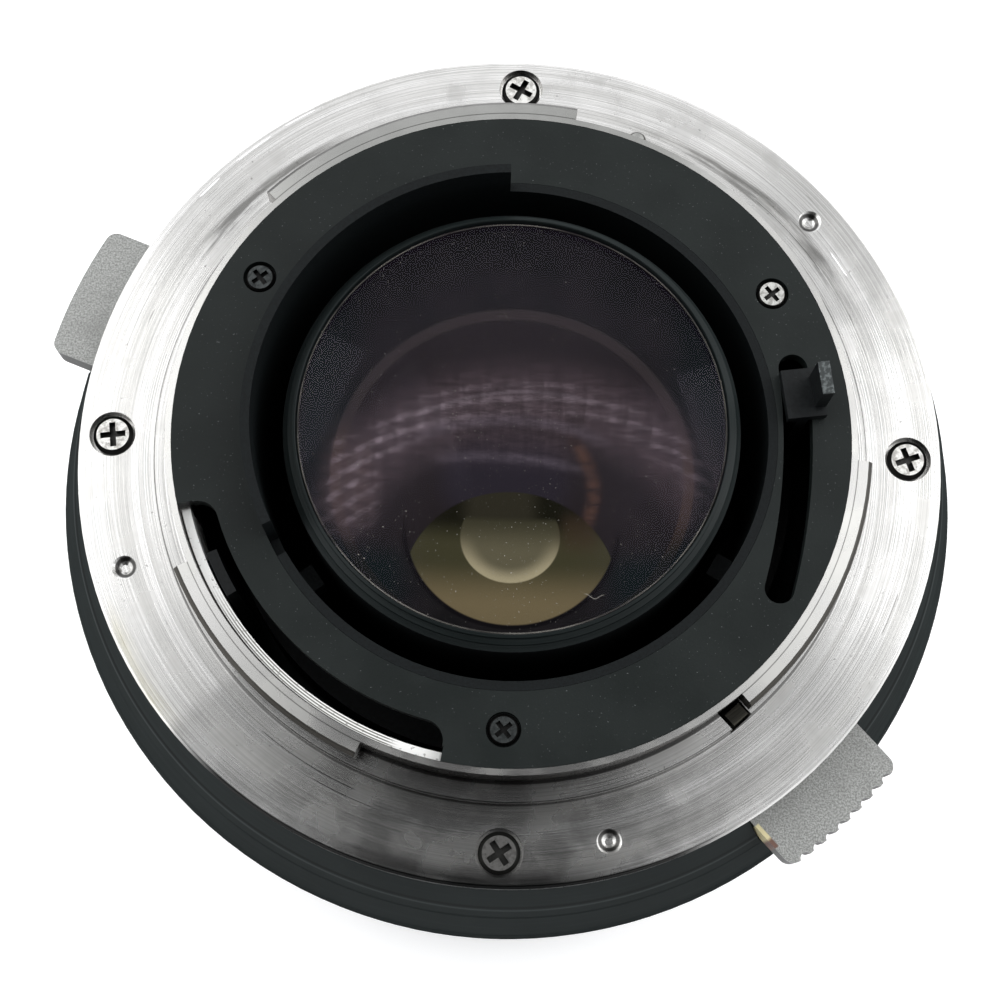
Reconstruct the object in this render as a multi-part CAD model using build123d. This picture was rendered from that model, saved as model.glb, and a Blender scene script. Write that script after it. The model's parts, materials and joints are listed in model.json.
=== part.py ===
from build123d import *
import math
import os

# Macro zoom lens, all sizes in millimetres and degrees.
# The origin is the centre of the mount's flange face and +Z points out of the rear of the lens.
# The lens stands on its front rim, so everything in front of the flange has a negative Z.
# Angles are counted anticlockwise about +Z, as seen from behind the lens.

# Clearances
running_fit = 0.05
seat_fit = 0.02
free_gap = 0.2

# How far a cutting shape passes the face that it cuts
cut_past = 1.0

# Rear lens cell and light baffle: the other radii follow from here outwards
rear_cell_radius = 14.8
rear_cell_wall = 2.2
baffle_gap = 1.8
baffle_wall = 0.6
baffle_bore = rear_cell_radius + baffle_gap
baffle_outer = baffle_bore + baffle_wall

# Stop-down ring, round the baffle
stop_ring_width = 2.75
stop_ring_height = 2.0
stop_ring_drop = 4.7
stop_ring_shoulder = 0.8
stop_ring_inner = baffle_outer + running_fit
stop_ring_outer = stop_ring_inner + stop_ring_width

# Bayonet mount, from its bore outwards
bore_room = 1.35
plate_seat_width = 0.65
rim_wall = 0.4
lug_reach = 1.0
register_reach = 1.35
flange_reach = 5.25
flange_thickness = 1.6
flange_edge = 0.15
register_height = 1.0
rim_height = 4.5
lug_thickness = 1.6
lug_bevel = 0.3
lug_spans = [(80.5, 136.5), (205.5, 247.0), (311.0, 356.0)]
flange_screw_angles = [0, 90, 180, 270]
flange_screw_turns = [20, 62, 8, 35]
flange_screw_inset = 2.22
flange_screw_head = 1.35
flange_screw_head_height = 0.85
flange_screw_shank = 0.85
flange_screw_length = 4.6
dimple_angles = [40, 200, 285]
dimple_radius = 0.8
dimple_floor = 0.25
dimple_depth = 0.35
stop_pin_radius = 0.62
stop_pin_angle = 69.5
stop_pin_top = 3.0
cover_ear_half_angle = 4.0
cover_ear_depth = 1.7
cover_ear_reach = 1.1

bore_radius = stop_ring_outer + bore_room
rim_inner = bore_radius + plate_seat_width
rim_outer = rim_inner + rim_wall
lug_radius = rim_outer + lug_reach
register_radius = rim_outer + register_reach
flange_radius = register_radius + flange_reach
flange_screw_pitch = flange_radius - flange_screw_inset
stop_pin_distance = rim_outer + stop_pin_radius + seat_fit
stop_ring_top = -flange_thickness - stop_ring_drop
stop_ring_bottom = stop_ring_top - stop_ring_height
stop_ring_middle = (stop_ring_top + stop_ring_bottom) / 2

# Cover plate and the rest of the light baffle
plate_thickness = 1.0
plate_drop = 0.01
cover_screw_angles = [30, 150, 270]
cover_screw_turns = [10, 70, 40]
cover_screw_inset = 2.4
cover_screw_head = 0.97
cover_screw_head_height = 0.5
cover_screw_shank = 0.55
cover_screw_length = 2.6
cover_screw_room = 0.13
cover_shank_room = 0.1
baffle_tail = 1.3
shroud_rise = 2.8
shroud_start = 92.0
shroud_end = 207.0
shroud_gap_end = 212.0
shroud_gap_depth = 1.6
baffle_lug_angles = [217, 330]
baffle_lug_reach = 1.1
baffle_lug_width = 1.6
baffle_lug_top = 0.6
baffle_lug_height = 2.0
shoulder_height = 0.65
clip_thickness = 0.6
clip_gap = 2.5
clip_gap_angle = 150.0
plate_top = rim_height - plate_drop
plate_seat = plate_top - plate_thickness
plate_radius = rim_inner - seat_fit
cover_screw_pitch = rim_inner - cover_screw_inset
shroud_top = rim_height + shroud_rise
baffle_bottom = stop_ring_bottom - baffle_tail

# Stop-down lever, the rod that drives the iris, and the return spring
stop_lever_angle = 8.0
stop_lever_width = 3.3
stop_lever_thickness = 0.7
stop_lever_step = 1.18
stop_lever_foot = 0.8
stop_shelf_rise = 0.8
stop_shelf_step = 0.45
stop_tab_step = 2.25
stop_tab_thickness = 0.75
stop_tab_width = 2.15
stop_tab_rise = 3.5
stop_travel = 24.0
rod_angle = 100.0
rod_step = 1.05
rod_thickness = 0.8
rod_width = 1.8
rod_foot_height = 0.8
stop_spring_start = 60.0
stop_spring_end = 100.0
stop_spring_radius = 0.55
stop_spring_bore = 0.33
stop_spring_inset = 2.6
stop_spring_clearance = 2.6
stop_post_radius = 0.5
stop_post_past = 0.4
stop_lever_radius = stop_ring_inner + stop_lever_step
stop_shelf_top = rim_height + stop_shelf_rise
stop_shelf_inner = stop_ring_inner + stop_shelf_step
stop_tab_radius = stop_ring_inner + stop_tab_step
stop_tab_top = rim_height + stop_tab_rise
rod_radius = stop_ring_inner + rod_step

# Slots in the cover plate. The right one bends outwards from the lever's path,
# so its points are a distance outside the lever's inner face and an angle.
left_slot_inset = 2.3
left_slot_corner = 1.3
left_slot_start = 195.6
left_slot_end = 260.0
right_slot_width = 1.9
right_slot_top = (0.4, 14.14)
right_slot_middle = (0.21, -9.26)
right_slot_bottom = (1.52, -30.74)
left_slot_inner = rim_inner - left_slot_inset

# Rear housing with its collar
housing_step = 2.05
housing_wall = 2.6
collar_reach = 1.6
collar_top_inset = 0.4
collar_chamfer = 0.3
collar_floor = 0.1
web_thickness = 1.8
housing_bore = bore_radius + housing_step
housing_radius = housing_bore + housing_wall
collar_radius = flange_radius + collar_reach
collar_top_radius = flange_radius - collar_top_inset

# Buttons at the edge of the flange
button_width = 9.7
button_height = 2.3
button_drop = 1.0
button_reach = 3.95
button_step = 1.3
button_stroke = 1.0
button_ear_width = 12.4
button_ear_depth = 1.0
button_clearance = 0.1
button_pocket_wall = 1.0
button_corner = 0.8
button_lower_edge = 0.5
preview_angle = 159.5
release_angle = 313.6
rib_count = 8
rib_depth = 0.4
spring_wall = 0.4
spring_side_wall = 0.1
spring_offset = 3.3
spring_depth = 2.3
plunger_radius = 0.8
plunger_reach = 2.3
plunger_grip = 2.0
pawl_plate_thickness = 0.75
pawl_plate_width = 4.0
pawl_plate_grip = 1.5
pawl_tip_inset = 1.1
pawl_tip_length = 0.9
pawl_tip_width = 1.2
pawl_tip_rise = 0.3
pawl_offset = -1.5
button_top = -flange_thickness - button_drop
button_bottom = button_top - button_height
button_middle = (button_top + button_bottom) / 2
button_radius = flange_radius + button_reach
button_inner = housing_radius + button_step
button_pocket_outer = button_inner + button_ear_depth + button_clearance
spring_radius = button_height / 2 - spring_side_wall
spring_end = button_inner + spring_depth
plunger_tip = housing_bore - plunger_reach
pawl_tip_inner = register_radius - pawl_tip_inset
pawl_tip_top = register_height + pawl_tip_rise
collar_bottom = button_bottom - collar_floor

# Aperture ring and its setting lever
aperture_ring_length = 8.2
aperture_ring_reach = 2.95
aperture_ring_scallops = 24
aperture_ring_band = 3.8
aperture_ring_land = 0.9
aperture_lip = 0.1
scallop_radius = 2.2
scallop_depth = 0.55
setting_lever_start = 204.5
setting_lever_end = 213.0
setting_lever_thickness = 0.7
setting_lever_gap = 0.15
setting_lever_drop = 1.2
setting_arm_height = 1.2
setting_arm_drop = 3.8
setting_foot = 1.2
setting_foot_play = 0.05
setting_window_margin = 1.5
aperture_click = 7.0
aperture_stops = 7
groove_depth = 0.3
groove_half = 0.8
groove_rise = 2.0
notch_depth = 0.25
notch_radius = 0.45
detent_angle = 120.0
detent_ball_radius = 0.75
detent_bore_depth = 2.2
detent_spring_radius = 0.6
detent_spring_bore = 0.34
aperture_travel = aperture_click * (aperture_stops - 1)
aperture_ring_top = collar_bottom - free_gap
aperture_ring_bottom = aperture_ring_top - aperture_ring_length
aperture_ring_bore = housing_radius + running_fit
aperture_ring_radius = flange_radius + aperture_ring_reach
setting_lever_outer = bore_radius - setting_lever_gap
setting_lever_inner = setting_lever_outer - setting_lever_thickness
setting_lever_top = rim_height - setting_lever_drop
setting_arm_top = aperture_ring_top - setting_arm_drop
setting_arm_bottom = setting_arm_top - setting_arm_height
detent_height = (aperture_ring_top + aperture_ring_bottom) / 2 + groove_rise
barrel_seat = aperture_ring_bottom - free_gap

# Barrels, from the centre outwards
guide_wall = 1.2
cam_wall = 1.35
cell_tube_gap = 0.4
cell_tube_wall = 1.2
carrier_wall = 1.35
main_wall = 1.9
ring_wall = 3.4
grip_proud = 0.25
grip_depth = 0.6
grip_groove_depth = 0.4
grip_groove_width = 1.1
grip_groove_margin = 0.8
grip_ribs = 48
filter_step = 0.8
filter_wall = 1.8
ring_edge = 0.2

guide_bore = stop_ring_outer + free_gap
guide_radius = guide_bore + guide_wall
cam_bore = guide_radius + running_fit
cam_radius = cam_bore + cam_wall
cell_tube_bore = cam_radius + cell_tube_gap
cell_tube_radius = cell_tube_bore + cell_tube_wall
carrier_bore = cell_tube_radius + running_fit
carrier_radius = carrier_bore + carrier_wall
main_bore = carrier_radius + running_fit
main_radius = main_bore + main_wall
zoom_bore = main_radius + running_fit
ring_radius = zoom_bore + ring_wall
grip_radius = ring_radius + grip_proud
main_flange_radius = ring_radius - ring_edge
filter_radius = ring_radius - filter_step
filter_bore = filter_radius - filter_wall
moving_radius = guide_bore - running_fit

# Screws of the two fixed barrels
main_screw_head = 1.05
main_screw_head_height = 0.8
main_screw_shank = 0.67
main_screw_length = 4.4
main_screw_sink = 0.1
main_screw_turn = 25
guide_screw_head = 0.88
guide_screw_head_height = 0.55
guide_screw_shank = 0.57
guide_screw_length = 2.4
guide_screw_sink = 0.08
guide_screw_turn = 50
main_screw_pitch = (housing_bore + housing_radius) / 2
guide_screw_pitch = (guide_bore + housing_bore) / 2

# Rings on the outside, from the rear to the front
main_flange_depth = 2.4
guide_flange_depth = 1.3
main_screw_bite = main_screw_length + main_screw_sink - main_flange_depth + free_gap
guide_screw_bite = guide_screw_length + guide_screw_sink - guide_flange_depth + free_gap
zoom_ring_length = 18.2
zoom_grip_margins = (1.4, 3.4)
index_ring_length = 1.4
index_gap = 0.1
focus_ring_length = 34.4
focus_grip_margins = (6.6, 6.4)
front_gap = 0.6
filter_ring_length = 4.0
filter_web = 1.0
filter_edge = 0.3
focus_front_edge = 0.5

zoom_ring_top = barrel_seat - main_flange_depth - free_gap
zoom_ring_bottom = zoom_ring_top - zoom_ring_length
zoom_grip_bottom = zoom_ring_bottom + zoom_grip_margins[0]
zoom_grip_top = zoom_ring_top - zoom_grip_margins[1]
index_ring_top = zoom_ring_bottom - index_gap
index_ring_bottom = index_ring_top - index_ring_length
focus_ring_top = index_ring_bottom - index_gap
focus_ring_bottom = focus_ring_top - focus_ring_length
focus_grip_bottom = focus_ring_bottom + focus_grip_margins[0]
focus_grip_top = focus_ring_top - focus_grip_margins[1]
filter_ring_top = focus_ring_bottom - front_gap
front_rim = filter_ring_top - filter_ring_length

# Front lenses and the pieces behind them, from the front to the rear
front_glass_recess = 1.2
front_glass_thickness = 5.4
front_glass_bulge = 2.4
front_glass_rear_bulge = 0.9
front_glass_gap = 0.65
front_ring_length = 1.2
front_ring_lip = 1.2
front_ring_wall_inset = 0.6
cell_web_length = 2.0
cell_sleeve_wall = 0.9
cell_sleeve_rise = 0.3
cell_tube_length = 22.4
cell_seat_reach = 1.2
cell_seat_rise = 0.8
cell_seat_height = 1.0
second_glass_thickness = 5.6
second_rear_hollow = 2.2
second_front_hollow = 0.4
second_ring_width = 1.28
second_ring_height = 1.0
carrier_clearance = 1.9
focus_clip_length = 1.5
focus_clip_wall = 1.0
focus_web_play = 0.06
focus_web_length = 5.0
focus_web_gap = 2.0
carrier_shoulder_gap = 0.9
carrier_shoulder_inset = 0.4
cam_end_room = 4.0
cam_ring_length = 1.2
cam_ring_play = 0.1
cam_ring_inset = 0.7
cam_head_gap = 0.5
cam_run_overlap = 0.4
cam_slot_play = 0.06
guide_flange_gap = 0.1

front_glass_vertex = filter_ring_top + front_glass_recess
front_glass_seat = front_glass_vertex + front_glass_thickness
cell_web_top = front_glass_seat + cell_web_length
cell_tube_top = cell_web_top + cell_tube_length
second_glass_seat = cell_web_top + cell_seat_rise
carrier_bottom = cell_web_top + carrier_clearance
focus_web_bottom = carrier_bottom + focus_clip_length
focus_web_top = focus_web_bottom + focus_web_length
cell_sleeve_top = focus_web_bottom - cell_sleeve_rise
main_end = focus_web_top + focus_web_gap
guide_end = main_end
cam_top = barrel_seat - guide_flange_depth - cam_head_gap
cam_end = guide_end + cam_ring_length + cam_ring_play + cam_ring_inset
cell_sleeve_radius = zoom_bore - running_fit
cell_sleeve_bore = cell_sleeve_radius - cell_sleeve_wall
front_glass_radius = cell_sleeve_bore - front_glass_gap

# Shape of a cross-recess screw's head, as shares of its height and radius
screw_bevel_share = 0.3
recess_depth_share = 0.6
recess_length_share = 1.25
recess_width_share = 0.3

# Motions: turns of the rings and the slides that they drive, in step with each other
zoom_turn = 70.0
carrier_travel = 10.0
variator_travel = 4.0
rear_travel = 7.0
focus_travel = 9.0
cam_angles = [30, 150, 270]
cam_steps = 7
roller_radius = 1.2
roller_stem = 0.6
roller_end_play = 0.1
roller_stem_depth = 2.9
guide_slot_margin = 0.3
rear_track_drop = 5.1
track_pitch = 6.0
carrier_head = 4.5
zoom_key_angle = 55.0
zoom_key_width = 3.6
zoom_key_drop = 2.4
zoom_key_height = 2.8
zoom_key_grip = 1.4
zoom_key_play = 0.03
zoom_window_margin = 1.0
focus_key_angles = [90, 210, 330]
focus_key_width = 2.4
focus_key_drop = 1.0
focus_key_height = 3.0
focus_key_depth = 0.45
focus_groove_margin = 1.0
slot_width = 2 * roller_radius + 2 * running_fit
rear_roller_z = barrel_seat - rear_track_drop
carrier_roller_z = guide_end + cam_end_room + carrier_travel
variator_roller_z = carrier_roller_z + track_pitch
carrier_top = carrier_roller_z + carrier_head
zoom_key_top = zoom_ring_top - zoom_key_drop
zoom_key_bottom = zoom_key_top - zoom_key_height
focus_key_top = focus_web_top - focus_key_drop
focus_key_bottom = focus_key_top - focus_key_height

# Rear lenses
rear_rim_rise = 1.22
rear_glass_inset = 0.94
rear_glass_rise = 0.8
rear_glass_bulge = 1.25
rear_glass_front_bulge = 0.8
rear_glass_seat_drop = 4.4
relay_gap = 7.9
relay_glass_thickness = 6.5
relay_rear_bulge = 1.5
relay_front_bulge = 1.2
rear_web_rise = 1.2
rear_web_height = 2.4
rear_step_width = 0.34
rear_step_slope = 0.15
rear_step_draft = 0.02
rear_first_rise = 0.35
rear_second_rise = 0.6
rear_third_rise = 0.78
rear_rim_edge = 0.05
rear_cell_top = rim_height
rear_rim_top = rear_cell_top + rear_rim_rise
rear_cell_bore = rear_cell_radius - rear_cell_wall
rear_glass_radius = rear_cell_radius - rear_glass_inset
rear_glass_edge = rear_cell_top + rear_glass_rise
rear_glass_seat = rear_glass_edge - rear_glass_seat_drop
relay_glass_top = rear_glass_seat - relay_gap
rear_web_top = rear_roller_z + rear_web_rise
rear_web_bottom = rear_web_top - rear_web_height

# Iris behind the rear lenses' web
iris_wall = 0.65
iris_gap = 0.2
iris_ring_height = 1.2
iris_level_gap = 0.3
iris_opening = 9.0
iris_blades = 6
blade_margin = 0.3
blade_thickness = 0.18
blade_pitch = 0.35
blade_start = 2.0
blade_end = 98.0
blade_arm_start = -0.5
blade_arm_end = 5.0
blade_arm_width = 2.9
blade_boss = 0.85
blade_ear = 0.68
blade_neck = 1.1
blade_pin_radius = 0.4
blade_pin_play = 0.06
blade_turn = 28.0
blade_outer_inset = 0.7
pivot_inset = 2.85
pivot_start = 60.0
iris_bore_inset = 1.6
ear_distance = 2.2
base_plate_thickness = 1.2
window_margin = 0.2
window_margin_angle = 1.2
iris_inner_wall = moving_radius - iris_wall
iris_ring_outer = iris_inner_wall - running_fit
pivot_radius = iris_ring_outer - pivot_inset
blade_outer = pivot_radius - blade_outer_inset
blade_inner = iris_opening + blade_margin
iris_ring_bore = pivot_radius - iris_bore_inset
iris_ring_top = rear_web_bottom - iris_gap
iris_ring_bottom = iris_ring_top - iris_ring_height
first_blade_top = iris_ring_bottom - iris_level_gap
last_blade_bottom = first_blade_top - blade_pitch * (iris_blades - 1) - blade_thickness
base_plate_top = last_blade_bottom - iris_level_gap
base_plate_bottom = base_plate_top - base_plate_thickness
rod_bottom = iris_ring_bottom - rear_travel - iris_level_gap

# Variator
variator_wall = 2.75
variator_head = 2.2
variator_length = 9.0
variator_lip = 1.0
variator_seat_height = 1.2
variator_glass_thickness = 2.8
variator_rear_hollow = 1.8
variator_front_hollow = 1.6
variator_ring_width = 1.18
variator_ring_height = 1.0
variator_roller_depth = 1.6
variator_glass_radius = moving_radius - variator_wall
variator_top = variator_roller_z + variator_head
variator_bottom = variator_top - variator_length
variator_seat = variator_bottom + variator_seat_height
variator_glass_top = variator_seat + variator_front_hollow + variator_glass_thickness

def ring(inner, outer, bottom, top):
    """A plain ring about the lens axis."""
    shape = Pos(0, 0, bottom) * Cylinder(outer, top - bottom, align=(Align.CENTER, Align.CENTER, Align.MIN))
    if inner > 0:
        hole = Cylinder(inner, top - bottom + 2 * cut_past, align=(Align.CENTER, Align.CENTER, Align.MIN))
        shape -= Pos(0, 0, bottom - cut_past) * hole
    return shape


def turned(outline):
    """A solid turned about the lens axis from (radius, z) points."""
    return revolve(make_face(Plane.XZ * Polyline(*outline, close=True)), Axis.Z)


def sector(inner, outer, bottom, top, start, end):
    """A piece of a ring between two angles."""
    outline = Polyline((inner, bottom), (outer, bottom), (outer, top), (inner, top), close=True)
    return Rot(0, 0, start) * revolve(make_face(Plane.XZ * outline), Axis.Z, end - start)


def radial_block(inner, outer, width, bottom, top, angle, offset=0.0):
    """A straight block that points away from the axis, moved sideways by offset."""
    centre = Pos((inner + outer) / 2, offset, (bottom + top) / 2)
    return Rot(0, 0, angle) * centre * Box(outer - inner, width, top - bottom)


def radial_rod(radius, inner, outer, angle, z, offset=0.0):
    """A round rod that points away from the axis."""
    rod = Cylinder(radius, outer - inner, align=(Align.CENTER, Align.CENTER, Align.MIN))
    return Rot(0, 0, angle) * Pos(inner, offset, z) * Rot(0, 90, 0) * rod


def upright(radius, bottom, top, distance, angle):
    """A round post parallel to the lens axis."""
    post = Cylinder(radius, top - bottom, align=(Align.CENTER, Align.CENTER, Align.MIN))
    return Rot(0, 0, angle) * Pos(distance, 0, bottom) * post


def joined(shapes):
    """One solid from overlapping shapes."""
    whole = shapes[0]
    for shape in shapes[1:]:
        whole += shape
    return whole


def group(shapes):
    """Separate solids kept together in one file."""
    solids = []
    for shape in shapes:
        solids.extend(shape.solids())
    return Compound(children=solids)


def cross_screw(head_radius, head_height, shank_radius, length, turn):
    """A cross-recess screw with its head's top at z = 0."""
    head = Pos(0, 0, -head_height) * Cylinder(
        head_radius, head_height, align=(Align.CENTER, Align.CENTER, Align.MIN)
    )
    head = chamfer(head.edges().group_by(Axis.Z)[-1], head_height * screw_bevel_share)
    shank = Pos(0, 0, -length) * Cylinder(
        shank_radius, length - head_height, align=(Align.CENTER, Align.CENTER, Align.MIN)
    )
    recess_depth = head_height * recess_depth_share
    arm = Box(head_radius * recess_length_share, head_radius * recess_width_share, recess_depth * 2)
    recess = arm + Rot(0, 0, 90) * arm
    return Rot(0, 0, turn) * (head + shank - recess)


def lens_element(radius, rear_vertex, rear_bulge, front_vertex, front_bulge):
    """A lens with spherical faces. A positive bulge is convex, a negative one hollow."""

    def depth(bulge, distance):
        curve = (radius**2 + bulge**2) / (2 * abs(bulge))
        return math.copysign(curve - math.sqrt(curve**2 - distance**2), bulge)

    rear_edge = (radius, rear_vertex - rear_bulge)
    rear_middle = (radius / 2, rear_vertex - depth(rear_bulge, radius / 2))
    front_edge = (radius, front_vertex + front_bulge)
    front_middle = (radius / 2, front_vertex + depth(front_bulge, radius / 2))
    outline = [
        ThreePointArc((0, rear_vertex), rear_middle, rear_edge),
        Line(rear_edge, front_edge),
        ThreePointArc(front_edge, front_middle, (0, front_vertex)),
        Line((0, front_vertex), (0, rear_vertex)),
    ]
    return revolve(make_face(Plane.XZ * Curve(children=outline)), Axis.Z)


def past_seat(seat_radius, radius, bulge):
    """How far a lens's convex face passes the seat that it touches at the seat's own radius."""
    return bulge * (seat_radius / radius) ** 2 - seat_fit


def mount_flange():
    body = turned([
        (bore_radius, -flange_thickness),
        (flange_radius - flange_edge, -flange_thickness),
        (flange_radius, -flange_thickness + flange_edge),
        (flange_radius, -flange_edge),
        (flange_radius - flange_edge, 0),
        (register_radius, 0),
        (register_radius, register_height),
        (rim_outer, register_height),
        (rim_outer, rim_height),
        (rim_inner, rim_height),
        (rim_inner, plate_seat),
        (bore_radius, plate_seat),
    ])
    lug_bottom = rim_height - lug_thickness
    for start, end in lug_spans:
        lug = sector(rim_outer - rim_wall / 2, lug_radius, lug_bottom, rim_height, start, end)
        outer_top = lug.edges().filter_by(GeomType.CIRCLE).group_by(Axis.Z)[-1].sort_by(SortBy.RADIUS)[-1]
        body += chamfer(outer_top, lug_bevel)
    for angle in cover_screw_angles:
        bottom = plate_seat - cover_ear_depth
        start = angle - cover_ear_half_angle
        end = angle + cover_ear_half_angle
        body += sector(cover_screw_pitch - cover_ear_reach, bore_radius + free_gap, bottom, plate_seat, start,
                       end)
        body -= upright(cover_screw_shank + running_fit, bottom - cut_past, plate_seat + cut_past,
                        cover_screw_pitch, angle)
    for angle in flange_screw_angles:
        body -= upright(flange_screw_head + free_gap, -flange_edge / 2 - flange_screw_head_height, cut_past,
                        flange_screw_pitch, angle)
        body -= upright(flange_screw_shank + running_fit, -flange_thickness - cut_past, 0, flange_screw_pitch,
                        angle)
    for angle in dimple_angles:
        cone = Cone(dimple_floor, dimple_radius, dimple_depth, align=(Align.CENTER, Align.CENTER, Align.MAX))
        body -= Rot(0, 0, angle) * Pos(flange_screw_pitch, 0, 0) * cone
    body -= upright(stop_pin_radius + seat_fit, -flange_thickness - cut_past, register_height + cut_past,
                    stop_pin_distance, stop_pin_angle)
    window_inner = pawl_tip_inner - button_stroke - 2 * free_gap
    window_outer = pawl_tip_inner + pawl_tip_length + free_gap
    window_top = pawl_tip_top + 2 * free_gap
    body -= radial_block(window_inner, window_outer, pawl_tip_width + 2 * free_gap,
                         -flange_thickness - cut_past, window_top, release_angle, pawl_offset)
    return body


def flange_screws():
    screws = []
    for angle, turn in zip(flange_screw_angles, flange_screw_turns):
        screw = cross_screw(flange_screw_head, flange_screw_head_height, flange_screw_shank,
                            flange_screw_length, turn)
        screws.append(Rot(0, 0, angle) * Pos(flange_screw_pitch, 0, -flange_edge / 2) * screw)
    return group(screws)


def bayonet_stop_pin():
    pin = upright(stop_pin_radius, -flange_thickness, stop_pin_top, stop_pin_distance, stop_pin_angle)
    return chamfer(pin.edges().group_by(Axis.Z)[-1], stop_pin_radius / 4)


def right_slot(width, depth_bottom, depth_top):
    """The curved slot of the stop-down lever, as a solid to cut with."""
    points = []
    for outside, angle in (right_slot_top, right_slot_middle, right_slot_bottom):
        distance = stop_lever_radius + outside
        turn = math.radians(angle)
        points.append((distance * math.cos(turn), distance * math.sin(turn)))
    outline = SlotArc(ThreePointArc(*points), width)
    return Pos(0, 0, depth_bottom) * extrude(outline, depth_top - depth_bottom)


def cover_plate():
    plate = ring(baffle_outer + seat_fit, plate_radius, plate_seat, plate_top)
    bottom = plate_seat - cut_past
    top = plate_top + cut_past
    half = math.degrees(left_slot_corner / left_slot_inner)
    corner_radius = left_slot_inner + left_slot_corner
    slot = sector(left_slot_inner, plate_radius + cut_past, bottom, top, left_slot_start + half,
                  left_slot_end - half)
    slot += sector(corner_radius, plate_radius + cut_past, bottom, top, left_slot_start, left_slot_end)
    for angle in (left_slot_start + half, left_slot_end - half):
        slot += upright(left_slot_corner, bottom, top, corner_radius, angle)
    plate -= slot
    plate -= right_slot(right_slot_width, bottom, top)
    for angle in cover_screw_angles:
        seat = plate_top - cover_screw_head_height - running_fit
        plate -= upright(cover_screw_head + cover_screw_room, seat, top, cover_screw_pitch, angle)
        plate -= upright(cover_screw_shank + cover_shank_room, bottom, top, cover_screw_pitch, angle)
    return plate


def cover_screws():
    screws = []
    for angle, turn in zip(cover_screw_angles, cover_screw_turns):
        screw = cross_screw(cover_screw_head, cover_screw_head_height, cover_screw_shank, cover_screw_length,
                            turn)
        screws.append(Rot(0, 0, angle) * Pos(cover_screw_pitch, 0, plate_top - seat_fit) * screw)
    return group(screws)


def baffle_ring():
    tube = ring(baffle_bore, baffle_outer, baffle_bottom, plate_top)
    tube += sector(baffle_bore, baffle_outer, plate_seat, shroud_top, shroud_start, shroud_end)
    tube -= sector(baffle_bore - cut_past, baffle_outer + cut_past, plate_top - shroud_gap_depth,
                   shroud_top + cut_past, shroud_end, shroud_gap_end)
    shoulder = stop_ring_top + running_fit
    tube += ring(baffle_bore, baffle_outer + stop_ring_shoulder, shoulder, shoulder + shoulder_height)
    for angle in baffle_lug_angles:
        tube += radial_block(baffle_bore - baffle_lug_reach, baffle_bore + baffle_wall / 2, baffle_lug_width,
                             baffle_lug_top - baffle_lug_height, baffle_lug_top, angle)
    return tube


def stop_ring_clip():
    top = stop_ring_bottom - running_fit
    outer = baffle_outer + stop_ring_shoulder
    clip = ring(baffle_outer + seat_fit, outer, top - clip_thickness, top)
    return clip - radial_block(baffle_bore, outer + cut_past, clip_gap, top - cut_past, top + cut_past,
                               clip_gap_angle)


def button_pocket(angle):
    """The room that a button needs in the collar, with its wider ears inside."""
    floor = button_bottom - button_clearance / 2
    slot = radial_block(button_inner, button_radius, button_width + 2 * button_clearance, floor, 0, angle)
    pocket_width = button_ear_width + 2 * button_clearance
    pocket = radial_block(housing_bore, button_pocket_outer, pocket_width, floor, 0, angle)
    return slot + pocket


def rear_housing():
    body = turned([
        (housing_bore, -flange_thickness),
        (collar_top_radius, -flange_thickness),
        (collar_radius, collar_bottom + collar_chamfer),
        (collar_radius - collar_chamfer, collar_bottom),
        (housing_radius, collar_bottom),
        (housing_radius, barrel_seat),
        (guide_bore, barrel_seat),
        (guide_bore, barrel_seat + web_thickness),
        (housing_bore, barrel_seat + web_thickness),
    ])
    screw_end = -flange_edge / 2 - flange_screw_length
    for angle in flange_screw_angles:
        body -= upright(flange_screw_shank + seat_fit, screw_end - running_fit, 0, flange_screw_pitch, angle)
    for angle in (preview_angle, release_angle):
        body -= button_pocket(angle)
        wall_width = button_ear_width + 2 * button_pocket_wall
        wall = radial_block(housing_bore - cut_past, housing_radius, wall_width, collar_bottom,
                            -flange_thickness, angle)
        body += wall & ring(housing_bore, housing_radius, collar_bottom, -flange_thickness)
    body -= radial_rod(plunger_radius + running_fit, housing_bore - cut_past, housing_radius + cut_past,
                       preview_angle, button_middle)
    body -= radial_block(housing_bore - cut_past, collar_radius, pawl_plate_width + 2 * button_clearance,
                         button_top - running_fit, 0, release_angle)
    window_start = setting_lever_start - setting_window_margin
    window_end = setting_lever_end + aperture_travel + setting_window_margin
    body -= sector(housing_bore - cut_past, housing_radius + cut_past, setting_arm_bottom - free_gap,
                   setting_arm_top + free_gap, window_start, window_end)
    body -= radial_rod(detent_ball_radius + seat_fit, housing_radius - detent_bore_depth,
                       housing_radius + cut_past, detent_angle, detent_height)
    bite_bottom = barrel_seat - cut_past
    for angle in cam_angles:
        body -= upright(guide_screw_shank + running_fit, bite_bottom, barrel_seat + guide_screw_bite,
                        guide_screw_pitch, angle)
        body -= upright(main_screw_shank + running_fit, bite_bottom, barrel_seat + main_screw_bite,
                        main_screw_pitch, angle + 60)
    post_start = stop_ring_outer + stop_spring_inset - stop_spring_radius - stop_post_past
    body += radial_rod(stop_post_radius, post_start, housing_bore + housing_wall / 4, stop_spring_end,
                       stop_ring_middle)
    return body


def detent_ball():
    centre = housing_radius + groove_depth - seat_fit - detent_ball_radius
    return Rot(0, 0, detent_angle) * Pos(centre, 0, detent_height) * Sphere(detent_ball_radius)


def detent_spring():
    inner = housing_radius - detent_bore_depth
    outer = housing_radius + groove_depth - seat_fit - 2 * detent_ball_radius
    sleeve = radial_rod(detent_spring_radius, inner, outer, detent_angle, detent_height)
    return sleeve - radial_rod(detent_spring_bore, inner - cut_past, outer + cut_past, detent_angle,
                               detent_height)


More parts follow.
